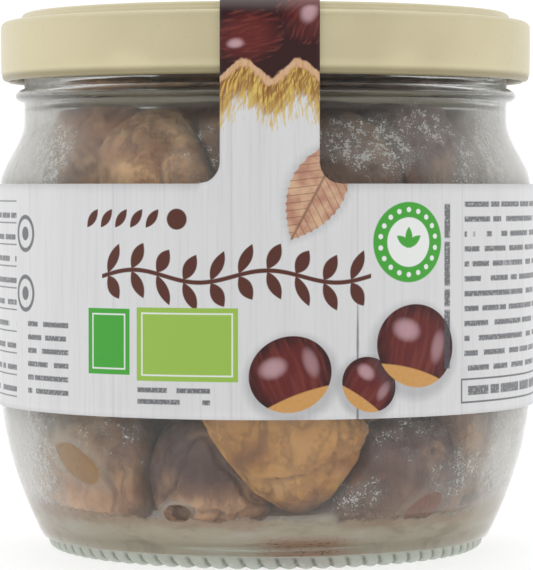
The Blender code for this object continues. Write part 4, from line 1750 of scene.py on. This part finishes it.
@dataclass(frozen=True)
class NutFlesh:
    """Moist peeled nut: a waxy ochre skin with darker veins, pits and folds, and painted shade where it lies
    back from the glass.
    """

    def material(self) -> Material:
        """The nuts' finish, on the colour stored for each.

        Returns:
            The material.
        """
        paint = Paint("peeled_nut")
        place = paint.place()
        tone = paint.stored_colour("tone")
        crease = paint.stored("crease")
        wet = paint.stored("wet")
        behind = paint.stored("behind")
        clouds = paint.noise(place, 90.0, 4.0, 0.6)
        blush = paint.noise(paint.stretched(place, (1.0, 1.0, 1.6)), 60.0, 3.0, 0.6)
        spots = paint.noise(place, 420.0, 4.0, 0.7)
        branching = paint.noise(paint.stretched(place, (1.0, 1.0, 0.7)), 130.0, 4.0, 0.65)
        veins = abs(branching - 0.5).ramp(0.05, 0.0)
        dry = 1.0 - wet
        colour = paint.mix(clouds.ramp(0.38, 0.66) * 0.9 * dry, tone, linear(176, 146, 130), Blend.MULTIPLY)
        colour = paint.mix(clouds.ramp(0.46, 0.28) * 0.5 * dry, colour, linear(214, 170, 130))
        colour = paint.mix(blush.ramp(0.5, 0.72) * 0.4 * dry, colour, linear(204, 152, 118))
        colour = paint.mix(spots.ramp(0.55, 0.75) * 0.35, colour, linear(120, 84, 66))
        colour = paint.mix(veins * 0.35 * dry, colour, linear(108, 74, 60))
        colour = paint.mix(crease * 0.45, colour, linear(96, 62, 46))
        # painted shade: darker where the nut lies farther back from the glass
        colour = paint.mix(behind * 0.6, colour, linear(128, 104, 92), Blend.MULTIPLY)
        bumps = clouds * 0.6 + spots * 0.3 + veins * -0.25
        shader = paint.shader({
            "Base Color": colour,
            "Roughness": 0.5 - wet * 0.2 + spots * 0.12,
            "Normal": paint.bump(bumps, 0.0008, 0.7),
            "Subsurface Weight": 0.08,
            "Subsurface Radius": (0.004, 0.002, 0.001),
            "Subsurface Scale": 1.0,
        })
        return paint.finish(shader.outputs[0])

    def core(self) -> Material:
        """The inside of the heap, dark brown as painted shade for the nuts deep in it.

        Returns:
            The material.
        """
        paint = Paint("heap_core")
        clouds = paint.noise(paint.place(), 90.0, 4.0, 0.6)
        # painted shade: dark browns for the shaded nuts deep in the heap
        colour = paint.mix(clouds, linear(104, 80, 62), linear(70, 52, 40))
        normal = paint.bump(clouds, 0.002, 0.8)
        shader = paint.shader({"Base Color": colour, "Roughness": 0.8, "Normal": normal})
        return paint.finish(shader.outputs[0])


@dataclass
class NutHeap:
    """The nuts: those that show at the front by name, and the others in rings that vary by a seeded draw."""

    jar: GlassJar
    width: float = 29.0 * MM
    tall: float = 26.0 * MM
    deep: float = 19.0 * MM
    seed: int = 7
    top: float = 98.0 * MM
    gap: float = 0.12 * MM
    low_count: int = 6
    nut_gap: float = 0.15 * MM
    nut_edge: float = 0.9 * MM
    farthest_pair: float = 34.0 * MM
    # how far down a nut its painted light from below takes to come in full
    underlight_depth: float = 9.0 * MM
    press_reach: float = 40.0 * MM
    finish: NutFlesh = field(default_factory=NutFlesh)
    wall: WallMap = field(default_factory=WallMap)
    front: dict[str, PeeledNut] = field(default_factory=lambda: {
        "low_left": PeeledNut(-51, 19.0, 38.5, 1.08, 35, 4, 0, NutTone.PALE, 0.9, 0.6),
        "low_left_back": PeeledNut(-76, 33.0, 36.0, 0.98, 80, -10, 10, NutTone.MAUVE, 1.0),
        "low_middle": PeeledNut(-15, 17.5, 35.5, 1.00, 100, 5, -8, NutTone.MAUVE, 1.2, 1.0),
        "low_front": PeeledNut(5, 26.5, 39.0, 1.24, 166, -5, 4, NutTone.OCHRE, 1.3, 0.0, 0.5),
        "low_right": PeeledNut(38, 17.5, 37.0, 1.15, 15, -2, 8, NutTone.MAUVE, 1.0, 0.25),
        "low_far_right": PeeledNut(66, 26.0, 37.0, 1.05, 100, 4, 0, NutTone.LIGHT, 0.8),
        "high_far_left": PeeledNut(-62, 76.5, 34.0, 1.00, 20, -12, 0, NutTone.LIGHT, 1.0),
        "high_left": PeeledNut(-28, 69.5, 37.0, 1.08, 75, -8, 6, NutTone.LIGHT, 0.8),
        "high_middle": PeeledNut(-3, 76.0, 33.5, 0.95, 120, -14, 0, NutTone.BROWN, 1.0),
        "high_right": PeeledNut(22, 71.5, 36.0, 1.00, 45, -10, -6, NutTone.BROWN, 1.0),
        "high_right_back": PeeledNut(46, 75.0, 35.5, 1.00, 150, -12, 4, NutTone.MAUVE, 1.0),
        "high_far_right": PeeledNut(73, 71.0, 37.0, 1.05, 95, -6, 0, NutTone.BROWN, 1.0),
    })
    rings: tuple[tuple[float, float, int, float, float], ...] = (
        (17.0, 37.5, 6, 100, 262),
        (73.5, 36.0, 6, 100, 262),
        (17.0, 15.0, 3, 30, 270),
        (84.0, 16.0, 4, 45, 315),
    )
    hidden_rings: tuple[tuple[float, float, int, float, float], ...] = (
        (41.0, 37.5, 8, 20, 335),
        (56.0, 37.5, 8, 0, 315),
    )

    def ring_nuts(self) -> list[PeeledNut]:
        """The rings' nuts, drawn in the same order as the solids' are, then those behind the label.

        Returns:
            The nuts.
        """
        draw = random.Random(self.seed)
        tones = random.Random(self.seed + 1)
        nuts = []
        for height, distance, count, first, last in self.rings + self.hidden_rings:
            for i in range(count):
                azimuth = first + (last - first) * i / (count - 1) + draw.uniform(-4.0, 4.0)
                lift = height + draw.uniform(-3.0, 3.0)
                size = draw.uniform(0.9, 1.12)
                turns = (draw.uniform(0.0, 360.0), draw.uniform(-18.0, 18.0), draw.uniform(-20.0, 20.0))
                away = distance + draw.uniform(-1.5, 0.5)
                tone = tones.choice(RING_TONES)
                nuts.append(PeeledNut(azimuth, lift, away, size, *turns, tone, tones.uniform(0.8, 1.2)))
        return nuts

    def ball(self, rings: int, steps: int) -> np.ndarray:
        """Directions on a unit ball, the poles left out: (sin p cos t, sin p sin t, cos p).

        Args:
            rings: how many rings.
            steps: how many steps round.

        Returns:
            Directions by ring and step.
        """
        polar = np.pi * (np.arange(rings) + 1.0) / (rings + 1.0)
        turn = 2.0 * np.pi * np.arange(steps) / steps
        p, t = np.meshgrid(polar, turn, indexing="ij")
        return np.stack([np.sin(p) * np.cos(t), np.sin(p) * np.sin(t), np.cos(p)], axis=-1)

    def flesh(self, way: np.ndarray, nut: PeeledNut, number: int) -> tuple[np.ndarray, np.ndarray]:
        """The nut's own form for directions on a ball.

        A chestnut's oval, flatter behind and tapered to its tip, plus lumps, plus folds: grooves along the
        places where a slow noise is near zero, with a narrow Gaussian profile.

        Args:
            way: unit directions.
            nut: the nut.
            number: its number, which picks its noise.

        Returns:
            The points in the nut's own frame, and how deep in a fold each is, from 0 to 1.
        """
        x, y, z = way[..., 0], way[..., 1], way[..., 2]
        taper = 1.0 - nut.point * np.maximum(z, 0.0) ** 2
        behind = np.where(y < 0.0, 1.0, 0.8)
        form = np.stack([
            x * 0.5 * self.width * nut.size * taper,
            y * 0.5 * self.deep * nut.size * behind * taper,
            z * 0.5 * self.tall * nut.size,
        ], axis=-1)
        lumps = 1.1 * MM * lattice_noise(way * 1.7 + 3.1, 11 + number)
        lumps += 0.5 * MM * lattice_noise(way * 4.0 + 1.7, 57 + number)
        bend = way + 0.35 * np.stack([lattice_noise(way * 2.2, 91 + number + k) for k in range(3)], axis=-1)
        ridges = np.abs(lattice_noise(bend * 6.5, 301 + number))
        ridges += 0.5 * np.abs(lattice_noise(bend * 13.0, 331 + number))
        lumps += 0.32 * MM * ridges
        slow = lattice_noise(bend * 1.25 + 9.0, 131 + number)
        main = np.exp(-((slow / 0.04) ** 2))
        quick = lattice_noise(bend * 2.6 + 4.0, 173 + number)
        small = np.exp(-((quick / 0.05) ** 2)) * 0.45
        crease = np.clip(main + small, 0.0, 1.0) * nut.folds
        groove = 0.9 * MM * crease
        return form + way * (lumps - groove)[..., None], np.clip(crease, 0.0, 1.0)

    def pressed_apart(self, points: np.ndarray, index: int, nuts: list[PeeledNut]) -> np.ndarray:
        """Draws a nut's points back from the planes between it and its neighbours, with a rounded edge.

        Args:
            points: the nut's points in the jar's frame.
            index: which nut.
            nuts: all of them.

        Returns:
            The points, none past a plane: p + n * min(0, eased limit - depth).
        """
        centre = nuts[index].centre()
        for other, neighbour in enumerate(nuts):
            if other == index:
                continue
            apart = neighbour.centre() - centre
            distance = float(np.linalg.norm(apart))
            if distance > self.farthest_pair or distance == 0.0:
                continue
            way = apart / distance
            own, its = self.reach_of(nuts[index], way), self.reach_of(neighbour, -way)
            limit = distance * own / (own + its) - self.nut_gap
            depth = (points - centre) @ way
            steps_below = np.clip((limit - depth) / self.nut_edge, -30.0, 30.0)
            held = limit - self.nut_edge * np.log1p(np.exp(steps_below))
            points = points + way * (np.minimum(depth, held) - depth)[..., None]
        return points

    def reach_of(self, nut: PeeledNut, way: np.ndarray) -> float:
        """How far a nut's oval reaches in a direction.

        Args:
            nut: the nut.
            way: a unit direction.

        Returns:
            The length.
        """
        own = nut.axes().T @ way
        half = 0.5 * nut.size * np.array([self.width, self.deep, self.tall])
        return float(np.linalg.norm(own * half))

    def kept_inside(self, points: np.ndarray) -> tuple[np.ndarray, np.ndarray]:
        """Draws points in to the glass, a hair clear of it, so that a nut lies flat where it presses.

        Args:
            points: points in the jar's frame.

        Returns:
            The points, and how far each was drawn in.
        """
        height = np.clip(points[..., 2], None, self.top)
        radius = np.hypot(points[..., 0], points[..., 1])
        floor = self.jar.floor_height(np.minimum(radius, self.jar.floor_radius))
        height = np.maximum(height, floor + self.gap)
        limit = self.jar.inner_radius(np.minimum(height, self.jar.shoulder_top)) - self.gap
        scale = np.minimum(1.0, limit / np.maximum(radius, 1e-6))
        inside = np.stack([points[..., 0] * scale, points[..., 1] * scale, height], axis=-1)
        return inside, radius - limit

    def build_some(self, name: str, chosen: list[int], nuts: list[PeeledNut], grid: tuple[int, int]) -> Piece:
        """Makes one piece of some of the nuts.

        Args:
            name: the piece's name.
            chosen: which nuts.
            nuts: all of them.
            grid: rings and steps of each nut's surface.

        Returns:
            The piece.
        """
        skin = Skin()
        tones, creases, wets, painted_shades = [], [], [], []
        way = self.ball(*grid)
        poles = np.array([[0.0, 0.0, 1.0], [0.0, 0.0, -1.0]])
        for index in chosen:
            nut = nuts[index]
            everything = np.concatenate([way.reshape(-1, 3), poles])
            points, crease = self.flesh(everything, nut, index)
            points = points @ nut.axes().T + nut.centre()
            points = self.pressed_apart(points, index, nuts)
            points, beyond = self.kept_inside(points)
            self.wall.mark(points, np.clip(-beyond, 0.0, None))
            rows = points[:-2].reshape(way.shape)
            skin.add_tube(rows, points[-2], points[-1])
            shade = 1.0 + 0.3 * lattice_noise(everything * 1.5, 211 + index)
            tone = np.array(nut.tone.value)[None, :] * shade[:, None]
            # painted light from below: each nut's lower part eases towards the pale underlit flesh
            fall = (nut.centre()[2] - points[:, 2]) / self.underlight_depth
            fall += 0.5 * lattice_noise(everything * 2.4, 251 + index)
            foot = ease(fall)[:, None] * nut.blush
            tone += (np.array(NutTone.UNDERLIT_FLESH.value)[None, :] - tone) * foot
            wet = np.zeros(len(points))
            for patch in PRESS_PATCHES:
                pressed = 1.0 - ease((patch.away(points) - 1.02) / 0.15)
                pressed *= np.hypot(points[:, 0], points[:, 1]) > self.press_reach
                tone += (np.array(patch.tone)[None, :] - tone) * pressed[:, None]
                wet = np.maximum(wet, pressed)
            tone[:, 3] = 1.0
            tones.append(tone)
            creases.append(crease * (1.0 - wet))
            wets.append(np.maximum(wet, 0.3 * ease(beyond / (0.25 * MM) + 0.5)))
            # painted shade: how far back from the glass each point lies, past the first mm
            painted_shades.append(np.clip((-beyond - 1.0 * MM) / (9.0 * MM), 0.0, 1.0) * (1.0 - wet))
        piece = skin.build(name)
        point_colours(piece, "tone", np.concatenate(tones))
        point_values(piece, "crease", np.concatenate(creases))
        point_values(piece, "wet", np.concatenate(wets))
        # behind: the share of the painted shade
        point_values(piece, "behind", np.concatenate(painted_shades))
        piece.data.materials.append(self.finish.material())
        return piece

    def build_core(self) -> Piece:
        """The heap's middle, finished in painted shade: a lumpy drum, its radius a plain one plus noise,
        inside the nuts.

        Returns:
            The piece.
        """
        rings, steps = 40, 72
        height = np.linspace(16.0 * MM, 86.0 * MM, rings)
        turn = 2.0 * np.pi * np.arange(steps) / steps
        z, t = np.meshgrid(height, turn, indexing="ij")
        way = np.stack([np.cos(t), np.sin(t), z * 60.0], axis=-1)
        ends = np.minimum(1.0, np.minimum(z - 14.0 * MM, 88.0 * MM - z) / (9.0 * MM)) ** 0.5
        radius = (27.0 * MM + 2.5 * MM * lattice_noise(way * 1.6, 5)) * ends
        rows = np.stack([radius * np.cos(t), radius * np.sin(t), z], axis=-1)
        skin = Skin()
        skin.add_tube(rows[::-1], np.array([0.0, 0.0, 87.0 * MM]), np.array([0.0, 0.0, 15.0 * MM]))
        core = skin.build("nut_core")
        core.data.materials.append(self.finish.core())
        return core

    def build(self) -> list[Piece]:
        """Makes the front nuts finely, the others more plainly, and the core.

        Returns:
            The pieces.
        """
        nuts = list(self.front.values()) + self.ring_nuts()
        named = len(self.front)
        seen = sum(ring[2] for ring in self.rings)
        pieces = [
            self.build_some("nuts_low", list(range(self.low_count)), nuts, (96, 128)),
            self.build_some("nuts_high", list(range(self.low_count, named)), nuts, (72, 96)),
            self.build_some("nuts_round", list(range(named, named + seen)), nuts, (46, 64)),
            self.build_some("nuts_inner", list(range(named + seen, len(nuts))), nuts, (24, 32)),
            self.build_core(),
        ]
        for piece in pieces:
            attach(piece, "root")
            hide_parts("chestnuts")
        return pieces


@dataclass(frozen=True)
class PaleFloor:
    """A plain pale light table with the faintest grain."""

    colour: Colour = linear(172, 172, 172)

    def material(self) -> Material:
        """The floor's finish.

        Returns:
            The material.
        """
        paint = Paint("pale_floor")
        grain = paint.noise(paint.place(), 400.0, 2.0)
        colour = paint.mix(grain * 0.2, self.colour, linear(168, 168, 168))
        shader = paint.shader({
            "Base Color": colour,
            "Roughness": 0.7 + grain * 0.1,
            "Specular IOR Level": 0.2,
            "Emission Color": (1.0, 1.0, 1.0, 1.0),
            "Emission Strength": 0.68,
        })
        return paint.finish(shader.outputs[0])


@dataclass
class Studio:
    """The floor, the soft light and the camera.

    The camera's distance, height and lens were fitted to seven rings of the jar in the 533 x 570 photograph.
    """

    distance: float = 0.614
    elevation: float = 1.76
    target_height: float = 51.1 * MM
    target_side: float = 0.2 * MM
    focal_px: float = 3129.0
    photo_long_side_px: float = 570.0
    sensor: float = 36.0
    floor_half: float = 3.0
    finish: PaleFloor = field(default_factory=PaleFloor)

    def build_floor(self) -> Piece:
        """A wide flat floor, its top at the jar's foot.

        Returns:
            The floor.
        """
        side = np.linspace(-self.floor_half, self.floor_half, 9)
        x, y = np.meshgrid(side, side)
        skin = Skin()
        skin.add_sheet(np.stack([x, y, np.zeros_like(x)], axis=-1))
        floor_piece = skin.build("studio_floor")
        floor_piece.data.materials.append(self.finish.material())
        return floor_piece

    def build_light(self) -> None:
        """A white backdrop that dims towards the camera's side, and three large soft lamps."""
        world = bpy.data.worlds.new("studio")
        bpy.context.scene.world = world
        world.use_nodes = True
        tree = world.node_tree
        tree.nodes.clear()
        output = tree.nodes.new("ShaderNodeOutputWorld")
        way = tree.nodes.new("ShaderNodeTexCoord")
        parts = tree.nodes.new("ShaderNodeSeparateXYZ")
        fade = tree.nodes.new("ShaderNodeMapRange")
        fade.interpolation_type = "SMOOTHSTEP"
        for name, value in (("From Min", -0.9), ("From Max", 0.2), ("To Min", 0.22), ("To Max", 1.06)):
            fade.inputs[name].default_value = value
        light = tree.nodes.new("ShaderNodeBackground")
        light.inputs["Color"].default_value = (1.0, 1.0, 1.0, 1.0)
        tree.links.new(way.outputs["Generated"], parts.inputs[0])
        tree.links.new(parts.outputs["Y"], fade.inputs["Value"])
        tree.links.new(fade.outputs[0], light.inputs["Strength"])
        tree.links.new(light.outputs[0], output.inputs[0])
        for name, place, size, watts in (
            ("lamp_left", (-0.45, -0.8, 0.5), 0.5, 1.0),
            ("lamp_right", (0.6, -0.7, 0.4), 0.5, 0.5),
            ("lamp_top", (0.0, 0.1, 0.9), 0.6, 0.9),
        ):
            lamp = bpy.data.lights.new(name, "AREA")
            lamp.energy = watts
            lamp.size = size
            holder = bpy.data.objects.new(name, lamp)
            bpy.context.scene.collection.objects.link(holder)
            holder.location = place
            holder.visible_glossy = False
            aim = np.array([0.0, 0.0, self.target_height]) - np.array(place)
            away = float(np.linalg.norm(aim))
            tilt = math.acos(-aim[2] / away)
            holder.rotation_euler = (tilt, 0.0, math.atan2(aim[1], aim[0]) - 0.5 * math.pi)

    def build_camera(self) -> Piece:
        """The camera, at the photograph's distance, height and angle.

        Returns:
            The camera's holder.
        """
        lift = math.radians(self.elevation)
        camera = bpy.data.cameras.new("camera")
        camera.sensor_width = self.sensor
        camera.lens = self.focal_px / self.photo_long_side_px * self.sensor
        camera.clip_start = 0.01
        camera.clip_end = 20.0
        holder = bpy.data.objects.new("camera", camera)
        bpy.context.scene.collection.objects.link(holder)
        back = self.distance * math.cos(lift)
        rise = self.distance * math.sin(lift)
        holder.location = (self.target_side, -back, self.target_height + rise)
        holder.rotation_euler = (0.5 * math.pi - lift, 0.0, 0.0)
        bpy.context.scene.camera = holder
        return holder

    def build(self) -> None:
        """Makes the studio, and keeps the picture's colours plain."""
        self.build_floor()
        self.build_light()
        self.build_camera()
        view = bpy.context.scene.view_settings
        view.view_transform = "Standard"
        view.look = "None"
        view.exposure = 0.0
        view.gamma = 1.0


def report(piece: Piece) -> None:
    """Logs a piece's name and how many faces it has."""
    LOG.info("%s: %d faces", piece.name, len(piece.data.polygons))


def main() -> None:
    """Builds the nuts, the jar round them, its lid, its label and the studio, in that order."""
    logging.basicConfig(level=logging.INFO, format="%(name)s %(message)s")
    jar = GlassJar()
    heap = NutHeap(jar)
    for piece in heap.build():
        report(piece)
    report(jar.build(heap.wall))
    report(TwistOffLid().build())
    report(WrapLabel().build())
    Studio().build()
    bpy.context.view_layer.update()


if __name__ == "__main__":
    main()
